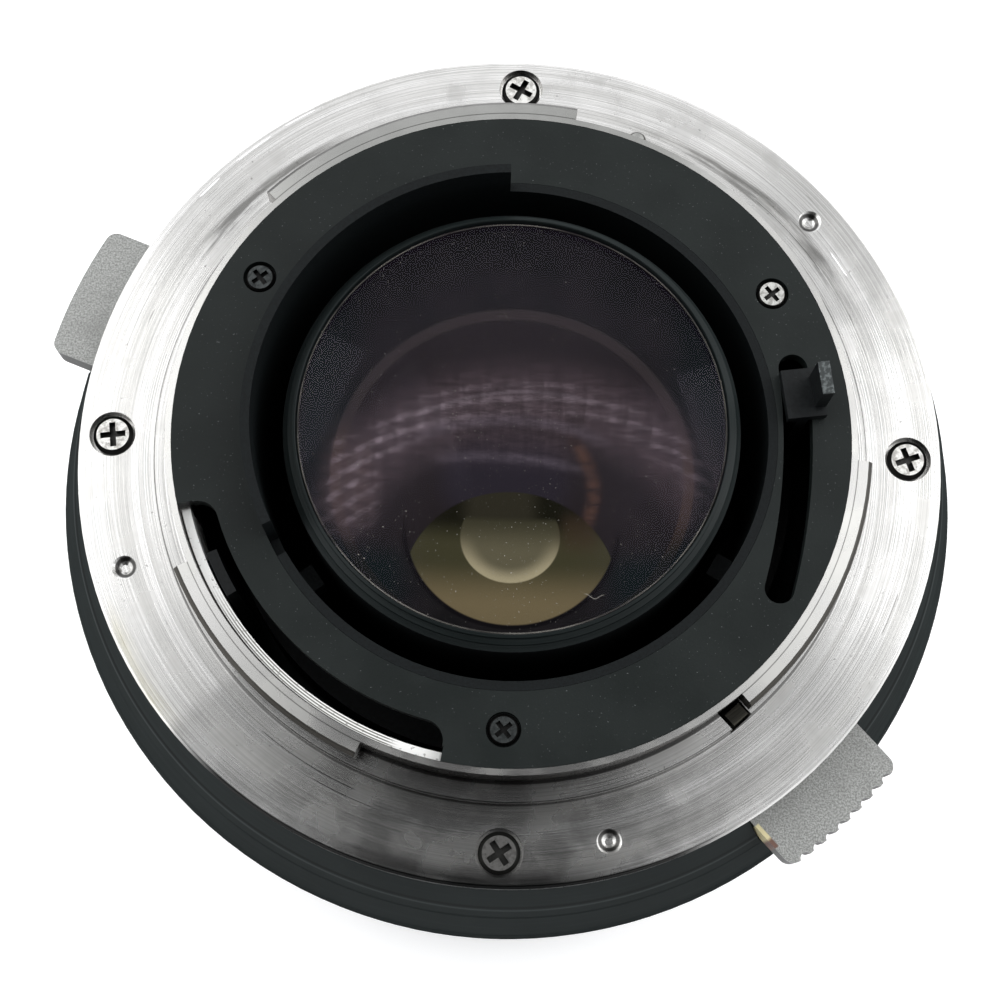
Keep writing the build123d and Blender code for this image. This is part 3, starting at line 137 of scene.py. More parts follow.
def round_axis(tree, point):
    """Distance from the axis, angle in degrees from -180 to 180, and height."""
    x, y, z = add(tree, "SeparateXYZ", point)[:]
    flat = add(tree, "CombineXYZ", {"X": x, "Y": y})[0]
    distance = add(tree, "VectorMath", flat, operation="LENGTH")["Value"]
    turn = add(tree, "Math", y, x, operation="ARCTAN2")[0]
    angle = add(tree, "Math", turn, operation="DEGREES")[0]
    return distance, angle, z


def lathe_lines(tree, point, distance, pitch, run, detail=3.0):
    """Noise drawn out round the axis: pitch apart across the lines, and run long along them."""
    heading = add(tree, "VectorMath", point, operation="NORMALIZE")[0]
    x, y = add(tree, "SeparateXYZ", heading)[:2]
    across = add(tree, "Math", distance, 1 / pitch, operation="MULTIPLY")[0]
    reach = RUN_RADIUS / run
    along_x = add(tree, "Math", x, reach, operation="MULTIPLY")[0]
    along_y = add(tree, "Math", y, reach, operation="MULTIPLY")[0]
    spot = add(tree, "CombineXYZ", {"X": along_x, "Y": along_y, "Z": across})[0]
    return add(tree, "TexNoise", {"Vector": spot, "Scale": 1.0, "Detail": detail, "Roughness": 0.6})[0]


def near(tree, value, centre, half, soft):
    """One where the value is within half of the centre, with edges this soft."""
    off = add(tree, "Math", value, centre, operation="SUBTRACT")[0]
    size = add(tree, "Math", off, operation="ABSOLUTE")[0]
    return add(tree, "MapRange", size, half - soft / 2, half + soft / 2, 1.0, 0.0, **SMOOTH)[0]


def near_both(tree, first, second):
    """Near in two values at once, each given as value, centre, half and softness."""
    return add(tree, "Math", near(tree, *first), near(tree, *second), operation="MULTIPLY")[0]


def waves(tree, value, length, shift=0.0):
    """A sine wave along a value, this long and shifted by so many radians."""
    turn = add(tree, "Math", value, 2 * math.pi / length, shift, operation="MULTIPLY_ADD")[0]
    return add(tree, "Math", turn, operation="SINE")[0]


# %% [markdown]
# Most finishes are a plain colour with layers over it. A stain follows a pattern, a second kind of layer
# follows a mask, and a fade lets a mask come in along a value. Masks that share a layer are joined first.

# %% Layers of colour
def stain(tree, colour, pattern, low, high, amount, shade):
    """Lays a shade over the colour where the pattern rises from low to high, up to this amount."""
    mask = add(tree, "MapRange", pattern, low, high, 0.0, amount, **SMOOTH)[0]
    return add(tree, "Mix", {0: mask, 6: colour, 7: linear(shade)}, data_type="RGBA")[2]


def lay_over(tree, colour, mask, shade, *shares):
    """Lays a hex shade or another colour over the colour where the mask is, times any shares."""
    for share in shares:
        mask = add(tree, "Math", mask, share, operation="MULTIPLY")[0]
    shade = linear(shade) if isinstance(shade, str) else shade
    return add(tree, "Mix", {0: mask, 6: colour, 7: shade}, data_type="RGBA")[2]


def fade(tree, mask, value, low, high, start=0.0, end=1.0):
    """The mask times a share that goes from start to end as the value goes from low to high."""
    share = add(tree, "MapRange", value, low, high, start, end, **SMOOTH)[0]
    return add(tree, "Math", mask, share, operation="MULTIPLY")[0]


def ramps(tree, first, second):
    """The product of two smooth ramps, each as value, low, high and, if need be, the share at each end."""
    return fade(tree, add(tree, "MapRange", *first, **SMOOTH)[0], *second)


def strongest(tree, *masks):
    """The strongest of several masks. A tuple stands for the product of all that it holds."""
    top = 0.0
    for mask in masks:
        share, *others = mask if isinstance(mask, tuple) else (mask,)
        for other in others:
            share = add(tree, "Math", share, other, operation="MULTIPLY")[0]
        top = add(tree, "Math", top, share, operation="MAXIMUM")[0]
    return top


# %% [markdown]
# The bayonet flange is brass, turned on a lathe and plated with dull chrome. The tool leaves fine circles,
# and metal that is grooved in circles spreads a lamp's reflection into bright wedges, so the shader is
# anisotropic about the axis. Years of mounting have polished tracks, left grey smears and scored a few
# bright dashes into it. Real turning marks are about 0.05 mm apart, too fine for a picture this size, so
# they are drawn coarser.

# %% Chromed brass, turned
FLANGE_RADIUS = 29.0
REGISTER_RADIUS = 23.75
RIM_RADIUS = 22.4
CLAW_FOOT = 1.2
CLAW_FACE = 2.7
LINE_PITCH = 0.08
TRACK_RADIUS = 25.45
LEDGE_RADIUS = 21.86
LEDGE_ANGLE = -132.0
LEDGE_STEP = 0.17
PIT_CIRCLE = 26.7
PIT_EDGE = 0.58
PIT_ANGLES = (40.0, 200.0, 285.0)
# Wedges of painted shade, where the reflection of the turned metal is darker, as angle, half width,
# softness and share
SHADED_WEDGES = ((-121.0, 16.5, 3.0, 1.0), (-98.0, 18.0, 22.0, 1.0), (44.0, 7.0, 16.0, 0.6),
               (-38.0, 9.0, 16.0, 0.8))
# Marks that run round the axis, as radius, width, first angle and last angle
SCORES = ((28.62, 0.1, 121.0, 125.5), (28.5, 0.1, 128.5, 134.0), (28.35, 0.1, 138.0, 141.5),
          (26.5, 0.1, 30.0, 34.0))
SCRATCHES = ((24.9, 0.06, -128.0, -112.0), (25.5, 0.05, -118.0, -109.0), (25.1, 0.05, 33.0, 48.0),
             (23.1, 0.05, 168.0, 200.0), (27.4, 0.05, -26.0, -20.0))


def dashes(tree, distance, angle, marks):
    """A mask of short marks that run round the axis."""
    return strongest(tree, *(near_both(tree, (distance, radius, width / 2, width / 2),
                                       (angle, (start + end) / 2, (end - start) / 2, 1.0))
                             for radius, width, start, end in marks))


def chromed_brass():
    material, tree = new_material("chromed_brass_turned")
    point = place_mm(tree)
    distance, angle, height = round_axis(tree, point)
    x, y = add(tree, "SeparateXYZ", point)[:2]
    flat = add(tree, "CombineXYZ", {"X": x, "Y": y})[0]
    uprightness = add(tree, "SeparateXYZ", add(tree, "NewGeometry")["True Normal"])[2]
    level = add(tree, "MapRange", uprightness, 0.5, 0.8, **SMOOTH)[0]
    fine = lathe_lines(tree, point, distance, LINE_PITCH, 26.0)
    broad = lathe_lines(tree, point, distance, 0.8, 34.0, 5.0)
    streaks = lathe_lines(tree, point, distance, 0.24, 3.4, 3.0)
    smears = add(tree, "TexNoise", {"Vector": point, "Scale": 1 / 3.2, "Detail": 3.0, "Roughness": 0.55})[0]
    specks = add(tree, "TexNoise",
                 {"Vector": point, "Scale": 1 / 0.35, "Detail": 2.0, "Roughness": 0.55})[0]

    # Plain plated metal with its circles, cloudy smears and short dark streaks
    colour = stain(tree, linear("#cfcecb"), broad, 0.3, 0.7, 1.0, "#efeeec")
    colour = stain(tree, colour, fine, 0.6, 0.38, 0.32, "#9b9995")
    colour = stain(tree, colour, smears, 0.54, 0.74, 0.22, "#94928d")
    colour = stain(tree, colour, streaks, 0.69, 0.76, 0.5, "#5b5955")
    worn_track = near(tree, distance, TRACK_RADIUS, 0.6, 0.7)
    rubs = lathe_lines(tree, point, distance, 0.9, 9.0, 5.0)
    track_smear = fade(tree, worn_track, rubs, 0.46, 0.64, 0.0, 0.75)
    quarter = strongest(tree, near(tree, angle, 47.0, 19.0, 12.0), near(tree, angle, 143.0, 22.0, 14.0))
    colour = lay_over(tree, colour, track_smear, "#62615e", quarter)
    dots = ramps(tree, (specks, 0.68, 0.75), (smears, 0.42, 0.6))
    colour = lay_over(tree, colour, dots, "#45423d", 0.5)
    dirt_edge = fade(tree, near(tree, angle, -146.0, 8.0, 10.0), distance, FLANGE_RADIUS - 1.4,
                     FLANGE_RADIUS - 0.1)
    dirt = fade(tree, dirt_edge, rubs, 0.35, 0.6, 0.2, 1.0)
    colour = lay_over(tree, colour, dirt, "#aaa47e", 0.6)
    # Painted shade: wedges of the flange are darker by angle, standing in for a darker reflection there
    shaded_wedges = strongest(tree, *((near(tree, angle, wedge, half, soft), share)
                             for wedge, half, soft, share in SHADED_WEDGES))
    colour = lay_over(tree, colour, fade(tree, shaded_wedges, broad, 0.3, 0.6, 0.2, 0.45), "#6d6e6c")
    # Painted shade: a dark band and a black line along the flange's lower edge
    low_edge_shade = fade(tree, near(tree, angle, -92.0, 17.0, 26.0), distance, FLANGE_RADIUS - 1.6,
                    FLANGE_RADIUS - 0.3)
    low_edge_shade = fade(tree, low_edge_shade, rubs, 0.3, 0.6, 0.6, 1.0)
    colour = lay_over(tree, colour, low_edge_shade, "#262827", 0.88)
    low_rim_shade = fade(tree, near(tree, angle, -98.0, 36.0, 12.0), distance, FLANGE_RADIUS - 0.28,
                   FLANGE_RADIUS - 0.2)
    colour = lay_over(tree, colour, low_rim_shade, "#0b0c0c", 0.95)

    # The bayonet claws are rubbed smooth on top; the top claw's face is darker with painted shade, and
    # their sides are painted dark as shade
    raised = fade(tree, level, height, CLAW_FACE - 0.1, CLAW_FACE + 0.1)
    claw_face = stain(tree, linear("#dfdedb"), smears, 0.35, 0.65, 1.0, "#d2d1cd")
    claw_face = lay_over(tree, claw_face, near(tree, angle, 95.0, 40.0, 30.0), "#a3a3a0")
    colour = lay_over(tree, colour, raised, claw_face)
    claw_side = ramps(tree, (height, CLAW_FOOT - 0.1, CLAW_FOOT + 0.1), (uprightness, 0.9, 0.75))
    claw_side_shade = stain(tree, linear("#2b2a28"), fine, 0.35, 0.65, 1.0, "#4a4844")
    colour = lay_over(tree, colour, fade(tree, claw_side, distance, 21.9, 22.1), claw_side_shade)

    # Inside the claws a ledge was left rough by the tool and ringed with fine steps; its near-white,
    # non-metallic colour is a painted highlight
    ledge_span = near(tree, angle, LEDGE_ANGLE, 31.8, 0.8)
    ledge = fade(tree, ledge_span, distance, LEDGE_RADIUS + 0.03, LEDGE_RADIUS)
    steps = waves(tree, distance, LEDGE_STEP)
    cut_end = ramps(tree, (steps, -0.2, 0.5), (angle, LEDGE_ANGLE - 20.0, LEDGE_ANGLE - 8.0))
    cut_end = fade(tree, cut_end, angle, LEDGE_ANGLE + 25.0, LEDGE_ANGLE + 22.0)
    nicks = add(tree, "MapRange", specks, 0.6, 0.68, 0.0, 0.6, **SMOOTH)[0]
    ledge_highlight = lay_over(tree, linear("#f4f4f1"), strongest(tree, cut_end, nicks), "#6f6e69")
    colour = lay_over(tree, colour, ledge, ledge_highlight)
    # Painted shade in the gap beside the ledge and along the rim's edge on the claws
    gap_line = near(tree, distance, LEDGE_RADIUS + 0.09, 0.05, 0.05)
    rim_line = near(tree, distance, RIM_RADIUS + 0.03, 0.03, 0.05)
    dark_lines = strongest(tree, (gap_line, ledge_span), (rim_line, raised, 0.7))
    colour = lay_over(tree, colour, dark_lines, "#24221f")

    # Grime and painted shade in the drilled pits, under the register and in every sharp corner
    pits = []
    for pit_angle in PIT_ANGLES:
        turn = math.radians(pit_angle)
        centre = (PIT_CIRCLE * math.cos(turn), PIT_CIRCLE * math.sin(turn), 0)
        off = add(tree, "VectorMath", flat, centre, operation="DISTANCE")["Value"]
        pits.append((near(tree, off, PIT_EDGE, 0.13, 0.12), 0.9))
    corner = fade(tree, near(tree, distance, REGISTER_RADIUS + 0.06, 0.07, 0.08), height, 0.2, -0.1)
    neck = near_both(tree, (distance, RIM_RADIUS + 0.08, 0.14, 0.12), (height, 1.0, 0.5, 0.5))
    register_edge = near_both(tree, (distance, REGISTER_RADIUS - 0.03, 0.035, 0.04),
                              (height, 1.0, 0.15, 0.1))
    grime_and_shade = strongest(tree, *pits, (corner, 0.85), (neck, 0.85), (register_edge, 0.7))
    colour = lay_over(tree, colour, grime_and_shade, "#1d1c1a")

    # Bright scores from mounting, and thin dark scratches
    scores = dashes(tree, distance, angle, SCORES)
    colour = lay_over(tree, colour, scores, "#ffffff")
    colour = lay_over(tree, colour, dashes(tree, distance, angle, SCRATCHES), "#32302d", 0.75)

    not_raised = add(tree, "Math", 1.0, raised, operation="SUBTRACT")[0]
    lines = add(tree, "Math", fine, not_raised, operation="MULTIPLY")[0]
    scratched = add(tree, "Math", lines, scores, operation="ADD")[0]
    normal = add(tree, "Bump", {"Height": scratched, "Distance": 0.009 * MM, "Strength": 1.0})[0]
    roughness = add(tree, "MapRange", smears, 0.35, 0.7, 0.2, 0.3, **SMOOTH)[0]
    tangent = add(tree, "Tangent", direction_type="RADIAL", axis="Z")[0]
    bare = add(tree, "Math", 1.0, strongest(tree, ledge, scores), operation="SUBTRACT")[0]
    shader = add(tree, "BsdfPrincipled", {
        "Base Color": colour, "Metallic": bare, "Roughness": roughness, "Normal": normal,
        "Tangent": tangent, "Anisotropic": 0.8, "Anisotropic Rotation": 0.25,
    })[0]
    return finish_material(material, shader)


# %% [markdown]
# The cover plate and the levers' surroundings are sprayed with a semi-gloss black enamel and baked. Such
# paint is never quite black: under a lamp it reads as a dark grey with a slight green cast. It has a very
# fine orange peel and a little dust. Anodised aluminium has matt pores with a thin sheen over them, and
# fine lathe marks.

# %% Black enamel, flat black and anodised aluminium
SHOULDER_HEIGHT = -8.5
GROOVE_RADIUS = 30.05


def satin_black_enamel():
    material, tree = new_material("enamel_satin_black")
    point = place_mm(tree)
    cloud = add(tree, "TexNoise", {"Vector": point, "Scale": 1 / 5.0, "Detail": 4.0, "Roughness": 0.55})[0]
    peel = add(tree, "TexNoise", {"Vector": point, "Scale": 1 / 0.22, "Detail": 2.0, "Roughness": 0.55})[0]
    dust = add(tree, "TexNoise", {"Vector": point, "Scale": 1 / 0.12, "Detail": 1.0, "Roughness": 0.55})[0]
    colour = stain(tree, linear("#121716"), cloud, 0.35, 0.65, 1.0, "#161b1a")
    colour = stain(tree, colour, dust, 0.74, 0.8, 0.5, "#7c8080")
    normal = add(tree, "Bump", {"Height": peel, "Distance": 0.006 * MM})[0]
    roughness = add(tree, "MapRange", cloud, 0.3, 0.7, 0.4, 0.48, **SMOOTH)[0]
    shader = add(tree, "BsdfPrincipled", {
        "Base Color": colour, "Roughness": roughness, "Normal": normal, "Specular IOR Level": 0.18,
    })[0]
    return finish_material(material, shader)


def flat_black_paint():
    material, tree = new_material("paint_flat_black")
    point = place_mm(tree)
    grain = add(tree, "TexNoise", {"Vector": point, "Scale": 1 / 0.18, "Detail": 3.0, "Roughness": 0.55})[0]
    colour = stain(tree, linear("#06090a"), grain, 0.3, 0.7, 1.0, "#0c1112")
    normal = add(tree, "Bump", {"Height": grain, "Distance": 0.01 * MM})[0]
    shader = add(tree, "BsdfPrincipled", {
        "Base Color": colour, "Roughness": 0.62, "Normal": normal, "Specular IOR Level": 0.15,
    })[0]
    return finish_material(material, shader)


def anodised_black():
    material, tree = new_material("aluminium_black_anodised")
    point = place_mm(tree)
    distance, _, height = round_axis(tree, point)
    turned = lathe_lines(tree, point, distance, 0.14, 12.0)
    blast = add(tree, "TexNoise", {"Vector": point, "Scale": 1 / 0.12, "Detail": 2.0, "Roughness": 0.55})[0]
    cloud = add(tree, "TexNoise", {"Vector": point, "Scale": 1 / 6.0, "Detail": 4.0, "Roughness": 0.55})[0]
    colour = stain(tree, linear("#141919"), cloud, 0.3, 0.7, 1.0, "#1a1f1f")
    colour = stain(tree, colour, turned, 0.45, 0.75, 0.5, "#222727")
    # A fine groove round the aperture ring's shoulder is painted: a line of painted shade with a painted
    # highlight on its lip
    groove_shade = fade(tree, near(tree, distance, GROOVE_RADIUS, 0.06, 0.08), height, SHOULDER_HEIGHT - 0.5,
                  SHOULDER_HEIGHT)
    colour = lay_over(tree, colour, groove_shade, "#060808", 0.85)
    groove_lip_highlight = fade(tree, near(tree, distance, GROOVE_RADIUS + 0.17, 0.04, 0.08), height,
                      SHOULDER_HEIGHT - 0.5, SHOULDER_HEIGHT)
    colour = lay_over(tree, colour, groove_lip_highlight, "#4b5050", 0.4)
    rough_height = add(tree, "Math", turned, blast, operation="ADD")[0]
    normal = add(tree, "Bump", {"Height": rough_height, "Distance": 0.006 * MM})[0]
    roughness = add(tree, "MapRange", turned, 0.3, 0.7, 0.34, 0.46, **SMOOTH)[0]
    pores = add(tree, "BsdfDiffuse", {"Color": colour, "Normal": normal})[0]
    sheen = add(tree, "BsdfAnisotropic",
                {"Color": linear("#e6eaea"), "Roughness": roughness, "Normal": normal})[0]
    shader = add(tree, "MixShader", 0.018, pores, sheen)[0]
    return finish_material(material, shader)


# %% [markdown]
# The screws are nickel-plated steel. Drivers slip in their recesses, so the plating is bruised round the
# cross, and dirt with painted shade darkens the recess and the heads' sides. The screws in the cover plate
# are smaller and blackened. In each set one screw looks different: the lowest large one is dull, and one
# small one has stayed bright.

# %% Steel screws
FLANGE_HEAD_TOP = nodes["flange_screws"].bound_box[1][2] / MM
COVER_HEAD_TOP = nodes["cover_screws"].bound_box[1][2] / MM
ODD_HALF = 20.0
print("screw heads end at", round(FLANGE_HEAD_TOP, 2), "and", round(COVER_HEAD_TOP, 2), "mm")


def screw_steel(name, face, bruise, head_top, odd_angle, odd_face, odd_bruise, odd_dirt_and_shade):
    """Plated screw heads whose recess and rim are darkened by dirt and painted shade. One screw, at the odd
    angle, has another face.
    """
    material, tree = new_material(name)
    point = place_mm(tree)
    _, angle, height = round_axis(tree, point)
    uprightness = add(tree, "SeparateXYZ", add(tree, "NewGeometry")["True Normal"])[2]
    mottle = add(tree, "TexNoise", {"Vector": point, "Scale": 1 / 0.45, "Detail": 4.0, "Roughness": 0.7})[0]
    fine = add(tree, "TexNoise", {"Vector": point, "Scale": 1 / 0.1, "Detail": 2.0, "Roughness": 0.55})[0]
    colour = stain(tree, linear(face), mottle, 0.42, 0.62, 1.0, bruise)
    odd = stain(tree, linear(odd_face), mottle, 0.42, 0.62, 1.0, odd_bruise)
    is_odd = near(tree, angle, odd_angle, ODD_HALF, 1.0)
    colour = lay_over(tree, colour, is_odd, odd)
    dirt = lay_over(tree, linear("#0d0c0b"), is_odd, odd_dirt_and_shade)
    colour = stain(tree, colour, fine, 0.64, 0.74, 0.7, "#35322f")
    # Painted shade: the cross recess and the heads' sides are darkened
    recess = add(tree, "MapRange", height, head_top - 0.08, head_top - 0.2, 0.0, 0.96, **SMOOTH)[0]
    rim = add(tree, "MapRange", uprightness, 0.95, 0.8, **SMOOTH)[0]
    colour = lay_over(tree, colour, strongest(tree, recess, rim), dirt)
    normal = add(tree, "Bump", {"Height": mottle, "Distance": 0.03 * MM})[0]
    roughness = add(tree, "MapRange", mottle, 0.3, 0.7, 0.3, 0.45, **SMOOTH)[0]
    shader = add(tree, "BsdfPrincipled", {
        "Base Color": colour, "Metallic": 0.75, "Roughness": roughness, "Normal": normal,
    })[0]
    return finish_material(material, shader)


# %% [markdown]
# The two buttons at the flange's edge are aluminium, blasted with fine beads and anodised clear. Blasting
# leaves an even grey sparkle with no direction at all. Their sides are painted black as shade. The levers
# are steel stampings, blackened in hot oxide, which turns grey where they rub.

# %% Blasted aluminium, blackened steel and the plain metals inside
RELEASE_ANGLE = 313.6
BUTTON_TOP = -2.68
LEVER_TOP = 8.0


def blasted_aluminium():
    material, tree = new_material("aluminium_bead_blasted")
    point = place_mm(tree)
    grit = add(tree, "TexNoise", {"Vector": point, "Scale": 1 / 0.13, "Detail": 3.0, "Roughness": 0.7})[0]
    cloud = add(tree, "TexNoise", {"Vector": point, "Scale": 1 / 2.5, "Detail": 4.0, "Roughness": 0.55})[0]
    colour = stain(tree, linear("#737472"), grit, 0.35, 0.65, 1.0, "#a3a4a1")
    colour = stain(tree, colour, cloud, 0.45, 0.75, 0.4, "#6f6f6d")
    height = add(tree, "SeparateXYZ", point)[2]
    # Painted shade: the buttons' sides below their tops are darkened
    colour = stain(tree, colour, height, BUTTON_TOP, BUTTON_TOP - 0.17, 0.85, "#151717")
    # The release button's plating is worn to yellow at one end, next to the flange
    turned = add(tree, "VectorRotate", {"Vector": point, "Angle": -math.radians(RELEASE_ANGLE)},
                 rotation_type="Z_AXIS")[0]
    outwards, sideways = add(tree, "SeparateXYZ", turned)[:2]
    worn_end = near_both(tree, (sideways, -4.74, 0.17, 0.1), (outwards, 30.1, 0.95, 0.1))
    worn_shade = stain(tree, linear("#cfc59c"), outwards, 30.2, 30.5, 1.0, "#6b5148")
    colour = lay_over(tree, colour, worn_end, worn_shade)
    normal = add(tree, "Bump", {"Height": grit, "Distance": 0.02 * MM})[0]
    shader = add(tree, "BsdfPrincipled", {
        "Base Color": colour, "Metallic": 0.6, "Roughness": 0.5, "Normal": normal,
    })[0]
    return finish_material(material, shader)


def blackened_steel():
    material, tree = new_material("steel_hot_oxide_black")
    point = place_mm(tree)
    grain = add(tree, "TexNoise", {"Vector": point, "Scale": 1 / 0.3, "Detail": 4.0, "Roughness": 0.65})[0]
    rubbed = add(tree, "TexNoise", {"Vector": point, "Scale": 1 / 1.1, "Detail": 5.0, "Roughness": 0.7})[0]
    colour = stain(tree, linear("#0b0d0e"), grain, 0.3, 0.7, 1.0, "#131617")
    colour = stain(tree, colour, rubbed, 0.66, 0.75, 0.3, "#6f7475")
    height = add(tree, "SeparateXYZ", point)[2]
    worn_tip = ramps(tree, (height, LEVER_TOP - 0.12, LEVER_TOP - 0.04), (grain, 0.46, 0.6, 0.3, 0.95))
    colour = lay_over(tree, colour, worn_tip, "#5f6464")
    normal = add(tree, "Bump", {"Height": grain, "Distance": 0.012 * MM})[0]
    shader = add(tree, "BsdfPrincipled", {
        "Base Color": colour, "Metallic": 0.15, "Roughness": 0.42, "Normal": normal,
        "Specular IOR Level": 0.2,
    })[0]
    return finish_material(material, shader)


def turned_metal(name, pale, dark, roughness):
    """A plain metal with lathe marks, for pieces inside the barrel."""
    material, tree = new_material(name)
    point = place_mm(tree)
    distance = round_axis(tree, point)[0]
    lines = lathe_lines(tree, point, distance, 0.2, 8.0)
    colour = stain(tree, linear(dark), lines, 0.35, 0.65, 1.0, pale)
    normal = add(tree, "Bump", {"Height": lines, "Distance": 0.01 * MM})[0]
    shader = add(tree, "BsdfPrincipled", {
        "Base Color": colour, "Metallic": 1.0, "Roughness": roughness, "Normal": normal,
    })[0]
    return finish_material(material, shader)


# %% [markdown]
# The grips are moulded rubber. It is dark grey, quite rough, and gathers pale dust in its grooves.

# %% Rubber and paint
GRIP_GROOVE_RADIUS = 31.1


def moulded_rubber():
    material, tree = new_material("rubber_moulded_black")
    point = place_mm(tree)
    distance = round_axis(tree, point)[0]
    grain = add(tree, "TexNoise", {"Vector": point, "Scale": 1 / 0.2, "Detail": 3.0, "Roughness": 0.55})[0]
    cloud = add(tree, "TexNoise", {"Vector": point, "Scale": 1 / 4.0, "Detail": 4.0, "Roughness": 0.55})[0]
    colour = stain(tree, linear("#131414"), cloud, 0.35, 0.7, 1.0, "#191a1a")
    dusty = ramps(tree, (distance, GRIP_GROOVE_RADIUS + 0.25, GRIP_GROOVE_RADIUS),
                  (cloud, 0.45, 0.65, 0.1, 0.4))
    colour = lay_over(tree, colour, dusty, "#4f4d48")
    normal = add(tree, "Bump", {"Height": grain, "Distance": 0.015 * MM})[0]
    shader = add(tree, "BsdfPrincipled", {
        "Base Color": colour, "Roughness": 0.68, "Normal": normal, "Specular IOR Level": 0.2,
    })[0]
    return finish_material(material, shader)


def filled_paint(name, shade, chipped):
    """Paint wiped into engraved figures, with small chips."""
    material, tree = new_material(name)
    point = place_mm(tree)
    chips = add(tree, "TexNoise", {"Vector": point, "Scale": 1 / 0.25, "Detail": 2.0, "Roughness": 0.55})[0]
    colour = stain(tree, linear(shade), chips, 0.62, 0.7, 0.6, chipped)
    shader = add(tree, "BsdfPrincipled", {"Base Color": colour, "Roughness": 0.55})[0]
    return finish_material(material, shader)


# %% [markdown]
# The lens elements are ground glass with several thin coatings. Coatings cut the mirror share of each face
# from four percent to about one and tint what is left, here lavender. The outer face is clear and only
# mirrors, by a low index; what the eye sees below it are reflections from the faces further in. They are
# painted reflections, lying still in the glass on a shallow bowl inside the element.

# %% Coated glass
REAR_GLASS_RADIUS = nodes["rear_element"].dimensions.x / MM / 2
COATED_INDEX = 1.2
print("rear glass radius", round(REAR_GLASS_RADIUS, 2), "mm")


def coated_face():
    material, tree = new_material("glass_multicoated")
    point = place_mm(tree)
    dust = add(tree, "TexNoise", {"Vector": point, "Scale": 1 / 0.11, "Detail": 1.0, "Roughness": 0.55})[0]
    haze = add(tree, "TexNoise", {"Vector": point, "Scale": 1 / 4.5, "Detail": 4.0, "Roughness": 0.55})[0]
    x, y, z = add(tree, "SeparateXYZ", point)[:]
    share = add(tree, "Fresnel", {"IOR": COATED_INDEX})[0]
    mirror = add(tree, "BsdfAnisotropic", {"Color": linear("#d9cfe8"), "Roughness": 0.02})[0]
    clear = add(tree, "BsdfTransparent", {"Color": linear("#f2f4f0")})[0]
    glass = add(tree, "MixShader", share, clear, mirror)[0]
    dust_and_highlight = ramps(tree, (dust, 0.73, 0.78), (haze, 0.4, 0.6, 0.25, 0.9))
    # One short hair lies near the lower edge of the rear glass
    mask = add(tree, "Math", x, 5.5, operation="MULTIPLY")[0]
    wave = add(tree, "Math", mask, operation="SINE")[0]
    mask = add(tree, "Math", wave, 0.13, operation="MULTIPLY")[0]
    hair_line = add(tree, "Math", y, mask, operation="SUBTRACT")[0]
    hair = near_both(tree, (hair_line, -11.3, 0.03, 0.03), (x, 5.4, 0.6, 0.2))
    at_rear = add(tree, "MapRange", z, 0.0, 0.5, **SMOOTH)[0]
    # A painted highlight: light catching the ground edge of the rear glass, as a thin broken line
    distance = round_axis(tree, point)[0]
    edge = fade(tree, near(tree, distance, REAR_GLASS_RADIUS - 0.1, 0.04, 0.06), haze, 0.35, 0.6, 0.1, 0.4)
    dust_and_highlight = strongest(tree, dust_and_highlight, (hair, at_rear, 0.3), (edge, at_rear))
    dust_and_highlight_shader = add(tree, "BsdfDiffuse", {"Color": linear("#a8a59d")})[0]
    shader = add(tree, "MixShader", dust_and_highlight, glass, dust_and_highlight_shader)[0]
    return finish_material(material, shader)


# Spacing of the lamps, and circles that are seen in the glass, all in millimetres
LAMP_ROW = 0.95
LAMP_COLUMN = 1.4
ROW_CURVE_CENTRE = (1.6, -19.0, 0)
RING_CENTRE = (0.1, -2.85, 0)
RING_RADIUS = 11.45
ARCH_CENTRE = (1.0, -10.4, 0)
ARCH_RADIUS = 13.4
SECOND_ROW_CENTRE = (0.0, -12.0, 0)
SECOND_ROW_RADIUS = 13.55
THIRD_ROW_CENTRE = (-1.0, -20.0, 0)
THIRD_ROW_RADIUS = 18.95
DARK_CENTRE = (-0.3, -2.6, 0)
ARC_CENTRE = (0.2, -3.6, 0)
ARC_RADIUS = 5.3
LOWER_RIM_CENTRE = (0.15, -6.18, 0)
UPPER_RIM_CENTRE = (0.15, -10.29, 0)
TABLE_RADIUS = 6.85
DISC_CENTRE = (0.1, -6.75, 0)
DISC_RADIUS = 3.3


